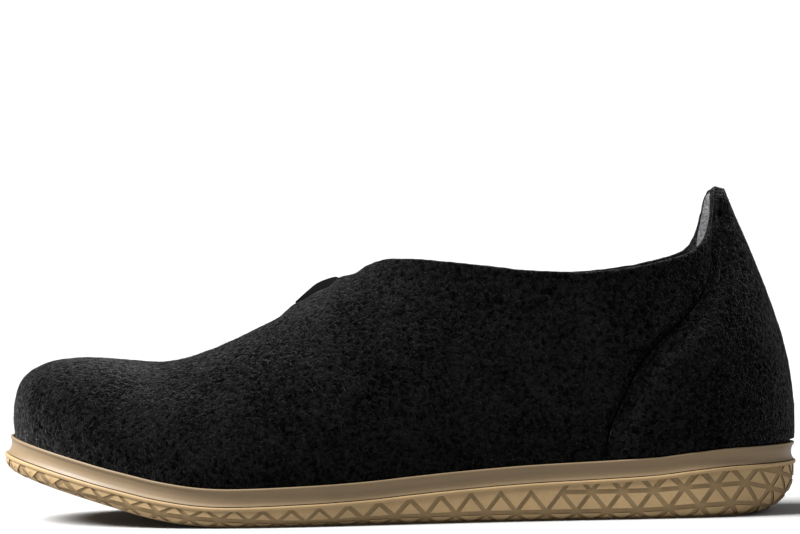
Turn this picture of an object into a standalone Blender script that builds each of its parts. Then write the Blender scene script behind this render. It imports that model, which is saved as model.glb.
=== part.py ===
import math

import bmesh
import bpy
from mathutils import Vector

# The felt slipper stands on its sole with the toe toward -X, the heel toward +X
# and its outer side toward -Y. Lengths are metres.
MM = 0.001

# Main sizes of the sole
SOLE_LENGTH = 265.0 * MM
BALL_WIDTH = 96.0 * MM
WAIST_WIDTH = 70.0 * MM
HEEL_WIDTH = 66.0 * MM
TOE_SWING = 9.0 * MM

# Toe spring of the whole sole, from a share of the length ahead of the heel
SPRING_START = 0.704
SPRING_RADIUS = 120.0 * MM
SPRING_ANGLE = math.radians(15.5)

# Outsole
HEEL_HEIGHT = 17.2 * MM
LIP_HEIGHT = 1.3 * MM
LIP_PROUD = 1.0 * MM
LIP_ROOT = 0.05 * MM
LIP_CUT = (0.15 * MM, 0.30 * MM)
RELIEF = 0.75 * MM
GROOVE_HALF = 0.62 * MM
RELIEF_SLOPE = 0.35 * MM
LATTICE_ROW = 5.8 * MM
LATTICE_START = -0.6 * MM
LATTICE_ROWS = 5
CLEAR_OF_ROW = 0.35 * MM
SMALLEST_FACET = 1.15 * MM
SHORTEST_SIDE = 1.6 * MM
TREAD_EDGE = 1.1 * MM
SIDE_TUCK = (3.2 * MM, 3.6 * MM)
HEEL_TUCK = (13.0 * MM, 12.6 * MM)
TOE_TUCK = (4.6 * MM, 3.9 * MM)
TUCK_SHARE = 0.94
TUCK_STEPS = 10

# Midsole band
BAND_HEIGHT = 5.9 * MM
BAND_DEPTH = 1.5 * MM
RIM_WIDTH = 1.0 * MM
RIM_DEPTH = 1.1 * MM

# Felt
CLEARANCE = 0.3 * MM
WALL_GAP = 0.45 * MM
FELT = 2.9 * MM
FELT_BULGE = 3.2 * MM
COUNTER_FELT = 1.0 * MM
COUNTER_GAP = 0.5 * MM
INSOLE_THICKNESS = 4.0 * MM
INSOLE_EDGE = 0.8 * MM
GORE_THICKNESS = 2.0 * MM
GORE_TAPER = 2.4 * MM
GORE_GAP = 0.8 * MM
GORE_SINK = 0.3 * MM
GORE_SHARE = 0.5

# Levels of the upper above the floor
TAB_HEIGHT = 108.2 * MM
COLLAR_HEIGHT = 80.7 * MM
INSTEP_HEIGHT = 86.1 * MM
THROAT_HEIGHT = 71.6 * MM
TOE_HEIGHT = 54.2 * MM
COLLAR_WIDTH = 61.2 * MM

# Columns of every ring: heel centre, outer side, toe tip, inner side
SIDE_COLUMNS = 62
COLUMNS = 2 * SIDE_COLUMNS
CURVE_STEPS = 16

# Plan of the sole edge: share of the length from the heel, and the two half
# widths as shares of the width that rules there
OUTLINE = (
    # along, outer, inner
    (0.020, 0.262, 0.262),
    (0.050, 0.382, 0.380),
    (0.100, 0.464, 0.456),
    (0.180, 0.508, 0.492),
    (0.280, 0.528, 0.470),
    (0.400, 0.550, 0.436),
    (0.500, 0.553, 0.438),
    (0.600, 0.508, 0.436),
    (0.660, 0.500, 0.459),
    (0.720, 0.494, 0.484),
    (0.800, 0.450, 0.488),
    (0.880, 0.362, 0.459),
    (0.940, 0.252, 0.389),
    (0.980, 0.120, 0.284),
)

# Where each named width rules along the sole
WIDTH_ZONES = (
    # along, heel share, waist share, ball share
    (0.00, 1.0, 0.0, 0.0),
    (0.20, 1.0, 0.0, 0.0),
    (0.42, 0.0, 1.0, 0.0),
    (0.66, 0.0, 0.0, 1.0),
    (1.00, 0.0, 0.0, 1.0),
)

# Height of the outsole edge as a share of HEEL_HEIGHT
SOLE_RISE = (
    # along, height
    (0.000, 1.000),
    (0.085, 0.965),
    (0.135, 0.900),
    (0.180, 0.822),
    (0.235, 0.778),
    (0.330, 0.720),
    (0.430, 0.616),
    (0.480, 0.550),
    (0.530, 0.480),
    (0.600, 0.422),
    (0.690, 0.388),
    (0.770, 0.388),
    (0.820, 0.368),
    (0.880, 0.340),
    (1.000, 0.332),
)

# Section of the band: inset from the lip edge as a share of BAND_DEPTH and
# height as a share of BAND_HEIGHT
BAND_SECTION = (
    # inset, height
    (0.53, 0.00),
    (0.90, 0.20),
    (1.00, 0.42),
    (0.77, 0.72),
    (0.30, 0.93),
    (0.37, 1.00),
)

# Upper: one row per place along the side of the foot edge. The top point is a
# share of SOLE_LENGTH from the heel, a half width as a share of COLLAR_WIDTH and
# a share of the level named there. Belly, bulge, crown and drop shape the
# section between foot and top; bulge is a share of FELT_BULGE.
LEVELS = {
    "tab": TAB_HEIGHT,
    "collar": COLLAR_HEIGHT,
    "instep": INSTEP_HEIGHT,
    "throat": THROAT_HEIGHT,
    "toe": TOE_HEIGHT,
}
UPPER_ROWS = (
    # foot, along, half width, level, share, belly, bulge, crown, drop
    (0.000, 0.0962, 0.000, "tab", 1.000, 0.42, 0.84, 0.41, 0.275),
    (0.022, 0.0974, 0.069, "tab", 0.997, 0.42, 0.84, 0.41, 0.275),
    (0.044, 0.1000, 0.127, "tab", 0.976, 0.42, 0.84, 0.40, 0.275),
    (0.066, 0.1030, 0.186, "tab", 0.928, 0.41, 0.84, 0.38, 0.28),
    (0.088, 0.1075, 0.242, "tab", 0.878, 0.41, 0.84, 0.34, 0.28),
    (0.112, 0.1155, 0.307, "tab", 0.840, 0.40, 0.84, 0.29, 0.29),
    (0.140, 0.1317, 0.373, "tab", 0.806, 0.39, 0.87, 0.25, 0.29),
    (0.175, 0.1630, 0.435, "collar", 1.047, 0.38, 0.84, 0.20, 0.30),
    (0.215, 0.2045, 0.474, "collar", 1.019, 0.38, 0.81, 0.18, 0.30),
    (0.275, 0.2717, 0.500, "collar", 1.000, 0.39, 0.81, 0.17, 0.30),
    (0.335, 0.3377, 0.497, "collar", 1.010, 0.40, 0.87, 0.18, 0.30),
    (0.390, 0.3962, 0.471, "collar", 1.034, 0.42, 0.94, 0.22, 0.28),
    (0.440, 0.4491, 0.425, "instep", 0.989, 0.44, 1.00, 0.28, 0.24),
    (0.476, 0.4849, 0.366, "instep", 0.999, 0.46, 1.00, 0.32, 0.21),
    (0.500, 0.5094, 0.294, "instep", 1.001, 0.47, 1.00, 0.36, 0.18),
    (0.516, 0.5234, 0.248, "instep", 0.993, 0.48, 1.00, 0.39, 0.16),
    (0.532, 0.5385, 0.206, "instep", 0.973, 0.48, 1.00, 0.41, 0.13),
    (0.548, 0.5536, 0.167, "instep", 0.944, 0.49, 1.00, 0.43, 0.10),
    (0.565, 0.5709, 0.129, "instep", 0.932, 0.49, 1.00, 0.44, 0.08),
    (0.581, 0.5845, 0.095, "instep", 0.895, 0.50, 1.00, 0.45, 0.06),
    (0.597, 0.5996, 0.064, "instep", 0.877, 0.50, 1.00, 0.46, 0.04),
    (0.613, 0.6147, 0.033, "instep", 0.850, 0.51, 0.97, 0.47, 0.02),
    (0.629, 0.6294, 0.000, "throat", 0.995, 0.51, 0.94, 0.48, 0.00),
    (0.645, 0.6479, 0.000, "throat", 0.938, 0.52, 0.94, 0.50, 0.00),
    (0.669, 0.6736, 0.000, "throat", 0.889, 0.53, 0.91, 0.52, 0.00),
    (0.694, 0.6992, 0.000, "throat", 0.843, 0.54, 0.87, 0.54, 0.00),
    (0.718, 0.7249, 0.000, "toe", 1.062, 0.56, 0.84, 0.56, 0.00),
    (0.742, 0.7502, 0.000, "toe", 1.018, 0.58, 0.81, 0.58, 0.00),
    (0.766, 0.7755, 0.000, "toe", 0.984, 0.60, 0.78, 0.60, 0.00),
    (0.790, 0.8011, 0.000, "toe", 0.968, 0.62, 0.78, 0.62, 0.00),
    (0.823, 0.8358, 0.000, "toe", 0.981, 0.65, 0.78, 0.65, 0.00),
    (0.855, 0.8679, 0.000, "toe", 0.995, 0.68, 0.75, 0.68, 0.00),
    (0.887, 0.8887, 0.000, "toe", 1.000, 0.72, 0.72, 0.71, 0.00),
    (0.935, 0.8925, 0.000, "toe", 1.000, 0.77, 0.66, 0.76, 0.00),
    (1.000, 0.8925, 0.000, "toe", 1.000, 0.80, 0.62, 0.80, 0.00),
)

# Swing of the middle line of the upper as a share of TOE_SWING
UPPER_SWING = (
    # along, swing
    (0.00, 0.00),
    (0.30, 0.08),
    (0.50, 0.20),
    (0.65, 0.40),
    (0.80, 0.70),
    (0.90, 0.90),
    (1.00, 1.00),
)
THROAT_COLUMN = 39
SECTION_STEPS = (0.0, 0.07, 0.18, 0.32, 0.47, 0.62, 0.77, 0.90, 1.0)

# Front edge of the heel panel: height as a share of TAB_HEIGHT and place as a
# share of SOLE_LENGTH from the heel
COUNTER_EDGE = (
    # height, along
    (0.176, 0.2480),
    (0.279, 0.2380),
    (0.334, 0.2280),
    (0.410, 0.2125),
    (0.464, 0.2000),
    (0.508, 0.1850),
    (0.551, 0.1670),
    (0.591, 0.1480),
    (0.638, 0.1300),
    (0.702, 0.1136),
    (0.776, 0.1068),
    (1.035, 0.1038),
)
COUNTER_ROWS = 11
COUNTER_COLUMNS = 10
COUNTER_TOP = 0.985
COUNTER_LOW = 0.05
COUNTER_REACH = 0.40
COUNTER_FOOT = 0.30

# Throat gore: place as a share of SOLE_LENGTH from the heel and crown height as
# a share of INSTEP_HEIGHT
GORE_ROWS = (
    # along, crown height
    (0.6204, 0.858),
    (0.6117, 0.881),
    (0.6011, 0.906),
    (0.5906, 0.920),
    (0.5808, 0.929),
    (0.5717, 0.934),
)
GORE_STEPS = 6
NOTCH_START = 0.45

# Steps of each search along a side or up a section
HALVINGS = 40


def clear_scene():
    for item in list(bpy.data.objects):
        bpy.data.objects.remove(item, do_unlink=True)


def slope_at(xs, ys, index):
    if index == 0:
        return (ys[1] - ys[0]) / (xs[1] - xs[0])
    if index == len(xs) - 1:
        return (ys[-1] - ys[-2]) / (xs[-1] - xs[-2])
    before = (ys[index] - ys[index - 1]) / (xs[index] - xs[index - 1])
    after = (ys[index + 1] - ys[index]) / (xs[index + 1] - xs[index])
    if before * after <= 0.0:
        return 0.0
    return 2.0 * before * after / (before + after)


def smooth_value(xs, ys, x):
    """A curve through the rows that never overshoots them."""
    if x <= xs[0]:
        return ys[0]
    if x >= xs[-1]:
        return ys[-1]
    index = 0
    while xs[index + 1] < x:
        index += 1
    span = xs[index + 1] - xs[index]
    t = (x - xs[index]) / span
    m0 = slope_at(xs, ys, index) * span
    m1 = slope_at(xs, ys, index + 1) * span
    h00 = 2 * t ** 3 - 3 * t ** 2 + 1
    h10 = t ** 3 - 2 * t ** 2 + t
    h01 = 3 * t ** 2 - 2 * t ** 3
    h11 = t ** 3 - t ** 2
    return h00 * ys[index] + h10 * m0 + h01 * ys[index + 1] + h11 * m1


def ruling_width(along):
    xs = [row[0] for row in WIDTH_ZONES]
    heel = smooth_value(xs, [row[1] for row in WIDTH_ZONES], along)
    waist = smooth_value(xs, [row[2] for row in WIDTH_ZONES], along)
    ball = smooth_value(xs, [row[3] for row in WIDTH_ZONES], along)
    return heel * HEEL_WIDTH + waist * WAIST_WIDTH + ball * BALL_WIDTH


HEEL_X = SOLE_LENGTH / 2
SPRING_START_X = HEEL_X - SPRING_START * SOLE_LENGTH


def spring_arc():
    return SPRING_RADIUS * SPRING_ANGLE


def toe_flat_x():
    """Unbent place of the toe tip whose bent lip ends at half the length."""
    lip = SOLE_RISE[-1][1] * HEEL_HEIGHT
    arc_run = (SPRING_RADIUS - lip) * math.sin(SPRING_ANGLE)
    rest = SOLE_LENGTH / 2 + SPRING_START_X - arc_run
    return SPRING_START_X - spring_arc() - rest / math.cos(SPRING_ANGLE)


FLAT_LENGTH = HEEL_X - toe_flat_x()


def bend(x, y, height):
    """Carry a point of the unbent sole onto the toe spring."""
    past = SPRING_START_X - x
    if past <= 0.0:
        return Vector((x, y, height))
    angle = min(past / SPRING_RADIUS, SPRING_ANGLE)
    rest = max(0.0, past - spring_arc())
    reach = SPRING_RADIUS - height
    bent_x = SPRING_START_X - reach * math.sin(angle) - rest * math.cos(angle)
    bent_z = SPRING_RADIUS - reach * math.cos(angle) + rest * math.sin(angle)
    return Vector((bent_x, y, bent_z))


def outline_points():
    outer = []
    inner = []
    for along, outer_share, inner_share in OUTLINE:
        width = ruling_width(along)
        x = HEEL_X - along * FLAT_LENGTH
        outer.append(Vector((x, -outer_share * width)))
        inner.append(Vector((x, inner_share * width)))
    heel = Vector((HEEL_X, 0.0))
    toe = Vector((HEEL_X - FLAT_LENGTH, TOE_SWING))
    return [heel] + outer + [toe] + inner[::-1]


def closed_curve(points, steps):
    """Smooth closed curve through points, with tangents by chord length."""
    count = len(points)
    chords = [(points[(i + 1) % count] - points[i]).length for i in range(count)]
    tangents = []
    for i in range(count):
        before = chords[i - 1]
        after = chords[i]
        step_in = (points[i] - points[i - 1]) / before
        step_out = (points[(i + 1) % count] - points[i]) / after
        tangents.append((step_in * after + step_out * before) / (before + after))
    curve = []
    for i in range(count):
        start = points[i]
        end = points[(i + 1) % count]
        m0 = tangents[i] * chords[i]
        m1 = tangents[(i + 1) % count] * chords[i]
        for step in range(steps):
            t = step / steps
            place = start * (2 * t ** 3 - 3 * t ** 2 + 1)
            place = place + m0 * (t ** 3 - 2 * t ** 2 + t)
            place = place + end * (3 * t ** 2 - 2 * t ** 3)
            place = place + m1 * (t ** 3 - t ** 2)
            curve.append(place)
    return curve


class Side:
    """One side of the sole edge, from heel centre to toe tip."""

    def __init__(self, points):
        self.points = points
        self.lengths = [0.0]
        for a, b in zip(points, points[1:]):
            self.lengths.append(self.lengths[-1] + (b - a).length)
        self.total = self.lengths[-1]

    def at(self, share):
        target = max(0.0, min(1.0, share)) * self.total
        index = 0
        while index < len(self.points) - 2 and self.lengths[index + 1] < target:
            index += 1
        span = self.lengths[index + 1] - self.lengths[index]
        t = (target - self.lengths[index]) / span
        return self.points[index].lerp(self.points[index + 1], t)

    def outward(self, share, sign):
        step = 0.006
        if share <= 0.0:
            return Vector((1.0, 0.0))
        if share >= 1.0:
            return Vector((-1.0, 0.0))
        low = self.at(share - step)
        high = self.at(share + step)
        if share < step:
            low = Vector((self.at(step - share).x, -self.at(step - share).y))
        along = (high - low).normalized()
        return Vector((along.y * sign, -along.x * sign))


def make_sides():
    points = outline_points()
    curve = closed_curve(points, CURVE_STEPS)
    half = (len(OUTLINE) + 1) * CURVE_STEPS
    outer = curve[:half + 1]
    inner = [curve[0]] + curve[half:][::-1]
    return Side(outer), Side(inner)


OUTER_SIDE, INNER_SIDE = make_sides()


def middle_shift():
    """Put the widest points of the sole edge at equal distance from y = 0."""
    low = min(point.y for point in OUTER_SIDE.points)
    high = max(point.y for point in INNER_SIDE.points)
    return (low + high) / 2


MIDDLE = middle_shift()


def edge_point(sign, share, inset):
    """Point of the unbent sole edge; sign -1 is the outer side."""
    side = OUTER_SIDE if sign < 0 else INNER_SIDE
    point = side.at(share)
    outward = side.outward(share, sign)
    moved = point - outward * inset
    return Vector((moved.x, moved.y - MIDDLE)), outward


def ring_place(column):
    """Side and share of a column of the rings that run round the sole."""
    column = column % COLUMNS
    if column <= SIDE_COLUMNS:
        return -1, column / SIDE_COLUMNS
    return 1, (COLUMNS - column) / SIDE_COLUMNS


def sole_height(x):
    along = (HEEL_X - x) / FLAT_LENGTH
    share = smooth_value(
        [row[0] for row in SOLE_RISE], [row[1] for row in SOLE_RISE], along
    )
    return share * HEEL_HEIGHT


def edge_height(column):
    """Outsole height at a column, without its inset."""
    sign, share = ring_place(column)
    point, _ = edge_point(sign, share, 0.0)
    return sole_height(point.x)


def sole_point(column, inset, height):
    """Bent point at a column; the ends take a part column by blending."""
    low = math.floor(column)
    part = column - low
    points = []
    for index in (low, low + 1):
        sign, share = ring_place(index)
        flat, _ = edge_point(sign, share, inset)
        points.append(flat)
    flat = points[0].lerp(points[1], part)
    return bend(flat.x, flat.y, height)


def outward_x(column):
    sign, share = ring_place(column)
    _, outward = edge_point(sign, share, 0.0)
    return outward.x


def tuck_size(column):
    """Width and height of the rounding under the sole edge."""
    facing = outward_x(column)
    heel = max(0.0, facing) ** 1.5
    toe = max(0.0, -facing) ** 1.5
    width = SIDE_TUCK[0] + heel * (HEEL_TUCK[0] - SIDE_TUCK[0]) + toe * (TOE_TUCK[0] - SIDE_TUCK[0])
    rise = SIDE_TUCK[1] + heel * (HEEL_TUCK[1] - SIDE_TUCK[1]) + toe * (TOE_TUCK[1] - SIDE_TUCK[1])
    most = edge_height(column) - LIP_HEIGHT - RELIEF
    return width, min(rise, TUCK_SHARE * most)


class WallProfile:
    """Outsole wall at one column: inset and height against length up the wall."""

    def __init__(self, column):
        width, rise = tuck_size(column)
        self.top = edge_height(column) - LIP_HEIGHT
        self.spots = []
        for step in range(TUCK_STEPS + 1):
            angle = math.pi / 2 * step / TUCK_STEPS
            inset = LIP_PROUD + width * (1.0 - math.sin(angle))
            height = RELIEF + rise * (1.0 - math.cos(angle))
            self.spots.append((inset, height))
        self.spots.append((LIP_PROUD, self.top))
        self.lengths = [0.0]
        for a, b in zip(self.spots, self.spots[1:]):
            self.lengths.append(self.lengths[-1] + math.hypot(b[0] - a[0], b[1] - a[1]))
        self.total = self.lengths[-1]

    def at(self, length):
        if length <= 0.0:
            return self.spots[0][0] - length, self.spots[0][1]
        length = min(length, self.total)
        index = 0
        while index < len(self.spots) - 2 and self.lengths[index + 1] < length:
            index += 1
        span = self.lengths[index + 1] - self.lengths[index]
        t = (length - self.lengths[index]) / span
        a = self.spots[index]
        b = self.spots[index + 1]
        return a[0] + t * (b[0] - a[0]), a[1] + t * (b[1] - a[1])


def clip_below(polygon, height_a, height_b, column_a):
    """Keep the part of a polygon below a line over one column span."""

    def excess(point):
        limit = height_a + (height_b - height_a) * (point[0] - column_a)
        return point[1] - limit

    kept = []
    count = len(polygon)
    for i in range(count):
        here = polygon[i]
        there = polygon[(i + 1) % count]
        over_here = excess(here)
        over_there = excess(there)
        if over_here <= 1e-9:
            kept.append(here)
        if (over_here < -1e-9 and over_there > 1e-9) or (over_here > 1e-9 and over_there < -1e-9):
            t = over_here / (over_here - over_there)
            kept.append((here[0] + t * (there[0] - here[0]), here[1] + t * (there[1] - here[1])))
    return kept


def polygon_area(polygon):
    total = 0.0
    for a, b in zip(polygon, polygon[1:] + polygon[:1]):
        total += a[0] * b[1] - b[0] * a[1]
    return abs(total) / 2


def lattice_limits(profiles):
    """Height up the wall where the lattice ends, kept off the lattice rows."""
    limits = []
    for profile in profiles:
        limit = profile.total
        for row in range(LATTICE_ROWS + 1):
            line = LATTICE_START + row * LATTICE_ROW
            if abs(profile.total - line) < CLEAR_OF_ROW:
                limit = line - CLEAR_OF_ROW
        limits.append(limit)
    return limits


def lattice_cells(limits):
    """Triangles of the side pattern in columns and wall length, cut at the lip."""
    cells = []
    for row in range(LATTICE_ROWS):
        low = LATTICE_START + row * LATTICE_ROW
        high = low + LATTICE_ROW
        for first in range(row % 2, COLUMNS + row % 2, 2):
            for start, base, tip in ((first, low, high), (first + 1, high, low)):
                middle = start + 1
                tops = [limits[(start + i) % COLUMNS] for i in range(3)]
                left = [(start, base), (middle, base), (middle, tip)]
                right = [(middle, base), (start + 2, base), (middle, tip)]
                left_cut = clip_below(left, tops[0], tops[1], start)
                right_cut = clip_below(right, tops[1], tops[2], middle)
                if tops[1] <= min(base, tip):
                    for part in (left_cut, right_cut):
                        if len(part) >= 3 and polygon_area(part) > 1e-9:
                            cells.append(part)
                    continue
                joined = []
                for point in left_cut + right_cut:
                    if point[0] == middle and abs(point[1] - base) < 1e-9:
                        continue
                    if all(math.hypot(point[0] - q[0], (point[1] - q[1]) / MM) > 1e-4 for q in joined):
                        joined.append(point)
                if len(joined) < 3 or polygon_area(ordered(joined)) < 1e-8:
                    continue
                cells.append(ordered(joined))
    return cells


def ordered(points):
    centre_x = sum(point[0] for point in points) / len(points)
    centre_y = sum(point[1] for point in points) / len(points)
    return sorted(
        points,
        key=lambda p: math.atan2((p[1] - centre_y) / LATTICE_ROW, p[0] - centre_x),
    )


def ladder(bm, ring):
    """Close a ring whose two halves face each other with cross strips."""
    count = len(ring)
    half = count // 2
    faces = [bm.faces.new((ring[0], ring[1], ring[count - 1]))]
    for i in range(1, half - 1):
        faces.append(bm.faces.new((ring[i], ring[i + 1], ring[count - i - 1], ring[count - i])))
    faces.append(bm.faces.new((ring[half - 1], ring[half], ring[half + 1])))
    return faces


def band_faces(bm, lower, upper):
    count = len(lower)
    for i in range(count):
        j = (i + 1) % count
        bm.faces.new((lower[i], lower[j], upper[j], upper[i]))


def material(name, colour, roughness):
    made = bpy.data.materials.new(name)
    made.use_nodes = True
    shader = made.node_tree.nodes["Principled BSDF"]
    shader.inputs["Base Color"].default_value = (colour[0], colour[1], colour[2], 1.0)
    shader.inputs["Roughness"].default_value = roughness
    return made


def finish(bm, name, surface, collection):
    bmesh.ops.triangulate(bm, faces=bm.faces, quad_method="SHORT_EDGE")
    bmesh.ops.recalc_face_normals(bm, faces=bm.faces)
    mesh = bpy.data.meshes.new(name)
    bm.to_mesh(mesh)
    bm.free()
    made = bpy.data.objects.new(name, mesh)
    collection.objects.link(made)
    mesh.materials.append(surface)
    return made


def room_inside(face):
    """Distance from the middle of a face to its nearest side."""
    middle = face.calc_center_median()
    nearest = SOLE_LENGTH
    for side in face.edges:
        a = side.verts[0].co
        direction = (side.verts[1].co - a).normalized()
        offset = middle - a
        nearest = min(nearest, (offset - direction * offset.dot(direction)).length)
    return nearest


def build_outsole(collection):
    bm = bmesh.new()
    profiles = [WallProfile(column) for column in range(COLUMNS)]
    limits = lattice_limits(profiles)
    known = {}

    def wall_vertex(column, length):
        column = column % COLUMNS
        key = (round(column, 3), round(length / MM, 3))
        if key not in known:
            low = int(math.floor(column))
            part = column - low
            a = profiles[low % COLUMNS].at(length)
            b = profiles[(low + 1) % COLUMNS].at(length)
            inset = a[0] + part * (b[0] - a[0])
            height = a[1] + part * (b[1] - a[1])
            known[key] = bm.verts.new(sole_point(column, inset, height))
        return known[key]

    facets = []
    edge = {}
    for cell in lattice_cells(limits):
        corners = []
        for column, length in cell:
            vertex = wall_vertex(column, length)
            if vertex not in corners:
                corners.append(vertex)
            wrapped = column % COLUMNS
            low = int(math.floor(wrapped))
            part = wrapped - low
            limit = limits[low] + part * (limits[(low + 1) % COLUMNS] - limits[low])
            if abs(length - limit) < 1e-8:
                edge[round(wrapped, 3)] = vertex
        if len(corners) >= 3:
            facets.append(bm.faces.new(corners))

    under_lip = []
    lip_low = []
    lip_high = []
    for column in range(COLUMNS):
        top = edge_height(column)
        low = top - LIP_HEIGHT
        under_lip.append(bm.verts.new(sole_point(column, LIP_PROUD, low + LIP_ROOT)))
        lip_low.append(bm.verts.new(sole_point(column, LIP_CUT[0], low + LIP_CUT[1])))
        lip_high.append(bm.verts.new(sole_point(column, 0.0, top)))
    places = sorted(edge)
    for column in range(COLUMNS):
        chain = [edge[place] for place in places if column <= place <= column + 1]
        if column == COLUMNS - 1:
            chain.append(edge[0.0])
        following = (column + 1) % COLUMNS
        bm.faces.new(chain + [under_lip[following], under_lip[column]])
    band_faces(bm, under_lip, lip_low)
    band_faces(bm, lip_low, lip_high)
    ladder(bm, lip_high)

    line = [wall_vertex(column, LATTICE_START) for column in range(0, COLUMNS, 2)]
    root = []
    tread = []
    for column in range(0, COLUMNS, 2):
        inset, height = profiles[column].at(LATTICE_START - TREAD_EDGE)
        root.append(bm.verts.new(sole_point(column, inset, height)))
        tread.append(bm.verts.new(sole_point(column, inset + RELIEF_SLOPE, 0.0)))
    band_faces(bm, line, root)
    band_faces(bm, root, tread)
    ladder(bm, tread)

    bmesh.ops.recalc_face_normals(bm, faces=bm.faces)
    raised = []
    for face in facets:
        shortest = min(side.calc_length() for side in face.edges)
        if room_inside(face) > SMALLEST_FACET and shortest > SHORTEST_SIDE:
            raised.append(face)
    bmesh.ops.inset_individual(bm, faces=raised, thickness=GROOVE_HALF, depth=0.0, use_even_offset=True)
    bmesh.ops.inset_individual(bm, faces=raised, thickness=RELIEF_SLOPE, depth=RELIEF, use_even_offset=True)
    return finish(bm, "outsole", material("gum_rubber", (0.33, 0.24, 0.15), 0.6), collection)


def build_midsole(collection):
    bm = bmesh.new()
    rings = []
    height = BAND_HEIGHT - CLEARANCE
    for inset, share in BAND_SECTION:
        rings.append((inset * BAND_DEPTH, CLEARANCE + share * height))
    top_inset = BAND_SECTION[-1][0] * BAND_DEPTH
    rings.append((top_inset + RIM_WIDTH, BAND_HEIGHT))
    rings.append((top_inset + RIM_WIDTH, BAND_HEIGHT - RIM_DEPTH))
    made = []
    for inset, lift in rings:
        ring = []
        for column in range(COLUMNS):
            ring.append(bm.verts.new(sole_point(column, inset, edge_height(column) + lift)))
        made.append(ring)
    for lower, upper in zip(made, made[1:]):
        band_faces(bm, lower, upper)
    ladder(bm, made[0])
    ladder(bm, made[-1])
    return finish(bm, "midsole", material("foam_rubber", (0.28, 0.23, 0.17), 0.55), collection)


def floor_lift():
    return BAND_HEIGHT - RIM_DEPTH + CLEARANCE


def foot_inset():
    return BAND_SECTION[-1][0] * BAND_DEPTH + RIM_WIDTH + WALL_GAP


def build_insole(collection):
    bm = bmesh.new()
    inset = foot_inset() + FELT + 2 * CLEARANCE
    rings = (
        (inset, floor_lift()),
        (inset, floor_lift() + INSOLE_THICKNESS - INSOLE_EDGE),
        (inset + INSOLE_EDGE, floor_lift() + INSOLE_THICKNESS),
    )
    made = []
    for ring_inset, lift in rings:
        ring = []
        for column in range(0, COLUMNS, 2):
            ring.append(bm.verts.new(sole_point(column, ring_inset, edge_height(column) + lift)))
        made.append(ring)
    for lower, upper in zip(made, made[1:]):
        band_faces(bm, lower, upper)
    ladder(bm, made[0])
    ladder(bm, made[-1])
    return finish(bm, "insole", material("insole_felt", (0.30, 0.30, 0.31), 0.95), collection)


def centre_y(x):
    """Middle line of the upper, which swings toward the inner side at the toe."""
    along = (HEEL_X - x) / SOLE_LENGTH
    spots = [row[0] for row in UPPER_SWING]
    shares = [row[1] for row in UPPER_SWING]
    return smooth_value(spots, shares, along) * TOE_SWING - MIDDLE


def upper_row(share):
    """Top point and section shape at a share of the way along a side."""
    feet = [row[0] for row in UPPER_ROWS]
    heights = [LEVELS[row[3]] * row[4] for row in UPPER_ROWS]
    height = smooth_value(feet, heights, share)
    columns = (1, 2, 5, 6, 7, 8)
    values = [smooth_value(feet, [row[i] for row in UPPER_ROWS], share) for i in columns]
    along, half, belly, bulge, crown, drop = values
    top_x = HEEL_X - along * SOLE_LENGTH
    return top_x, half * COLLAR_WIDTH, height, belly, bulge * FELT_BULGE, crown, drop


def upper_point(sign, share, rise):
    """Outer face of the felt upper; rise runs from foot edge to top edge."""
    top_x, half, height, belly, bulge, crown, drop = upper_row(share)
    top = Vector((top_x, centre_y(top_x) + sign * half, height))
    flat, outward = edge_point(sign, share, foot_inset())
    foot_height = sole_height(flat.x) + floor_lift()
    foot = bend(flat.x, flat.y, foot_height)
    away = Vector((outward.x, outward.y, 0.0))
    tall = top.z - foot.z
    level = Vector((foot.x - top.x, foot.y - top.y, 0.0))
    first = foot + Vector((0.0, 0.0, tall * belly)) + away * bulge
    second = top + level * crown - Vector((0.0, 0.0, tall * drop))
    t = rise
    place = foot * (1 - t) ** 3
    place = place + first * (3 * t * (1 - t) ** 2)
    place = place + second * (3 * t * t * (1 - t))
    return place + top * t ** 3


def upper_normal(sign, share, rise):
    step = 0.004
    low = max(0.0, rise - step)
    high = min(1.0, rise + step)
    up = upper_point(sign, share, high) - upper_point(sign, share, low)
    if share < step:
        behind = upper_point(-sign, step - share, rise)
    else:
        behind = upper_point(sign, share - step, rise)
    ahead = upper_point(sign, share + step, rise)
    return ((ahead - behind).cross(up) * sign).normalized()


def build_upper(collection):
    bm = bmesh.new()
    last = len(SECTION_STEPS) - 1
    rings = []
    for step in SECTION_STEPS:
        ring = []
        for column in range(COLUMNS):
            sign, share = ring_place(column)
            ring.append(bm.verts.new(upper_point(sign, share, step)))
        rings.append(ring)
    for lower, upper in zip(rings, rings[1:]):
        band_faces(bm, lower, upper)
    ridge = [rings[last][column] for column in range(THROAT_COLUMN, COLUMNS - THROAT_COLUMN + 1)]
    bmesh.ops.remove_doubles(bm, verts=ridge, dist=0.0001)
    bmesh.ops.recalc_face_normals(bm, faces=bm.faces)
    felt = finish(bm, "upper", material("boiled_wool_felt", (0.012, 0.012, 0.013), 0.95), collection)
    shell = felt.modifiers.new("felt wall", "SOLIDIFY")
    shell.thickness = FELT
    shell.offset = -1.0
    shell.use_even_offset = True
    shell.use_rim = True
    return felt


def counter_limit(sign, rise):
    """Share along the side where the heel panel ends at this rise."""
    heights = [row[0] * TAB_HEIGHT for row in COUNTER_EDGE]
    places = [HEEL_X - row[1] * SOLE_LENGTH for row in COUNTER_EDGE]
    low = 0.0
    high = COUNTER_REACH
    for _ in range(HALVINGS):
        middle = (low + high) / 2
        point = upper_point(sign, middle, rise)
        if point.x > smooth_value(heights, places, point.z):
            low = middle
        else:
            high = middle
    return low


def counter_start(sign, share):
    """Rise at which the heel panel clears the top of the midsole rim."""
    flat, _ = edge_point(sign, share, 0.0)
    level = sole_height(flat.x) + BAND_HEIGHT + CLEARANCE
    low = 0.0
    high = COUNTER_FOOT
    for _ in range(HALVINGS):
        middle = (low + high) / 2
        if upper_point(sign, share, middle).z < level:
            low = middle
        else:
            high = middle
    return high


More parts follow.
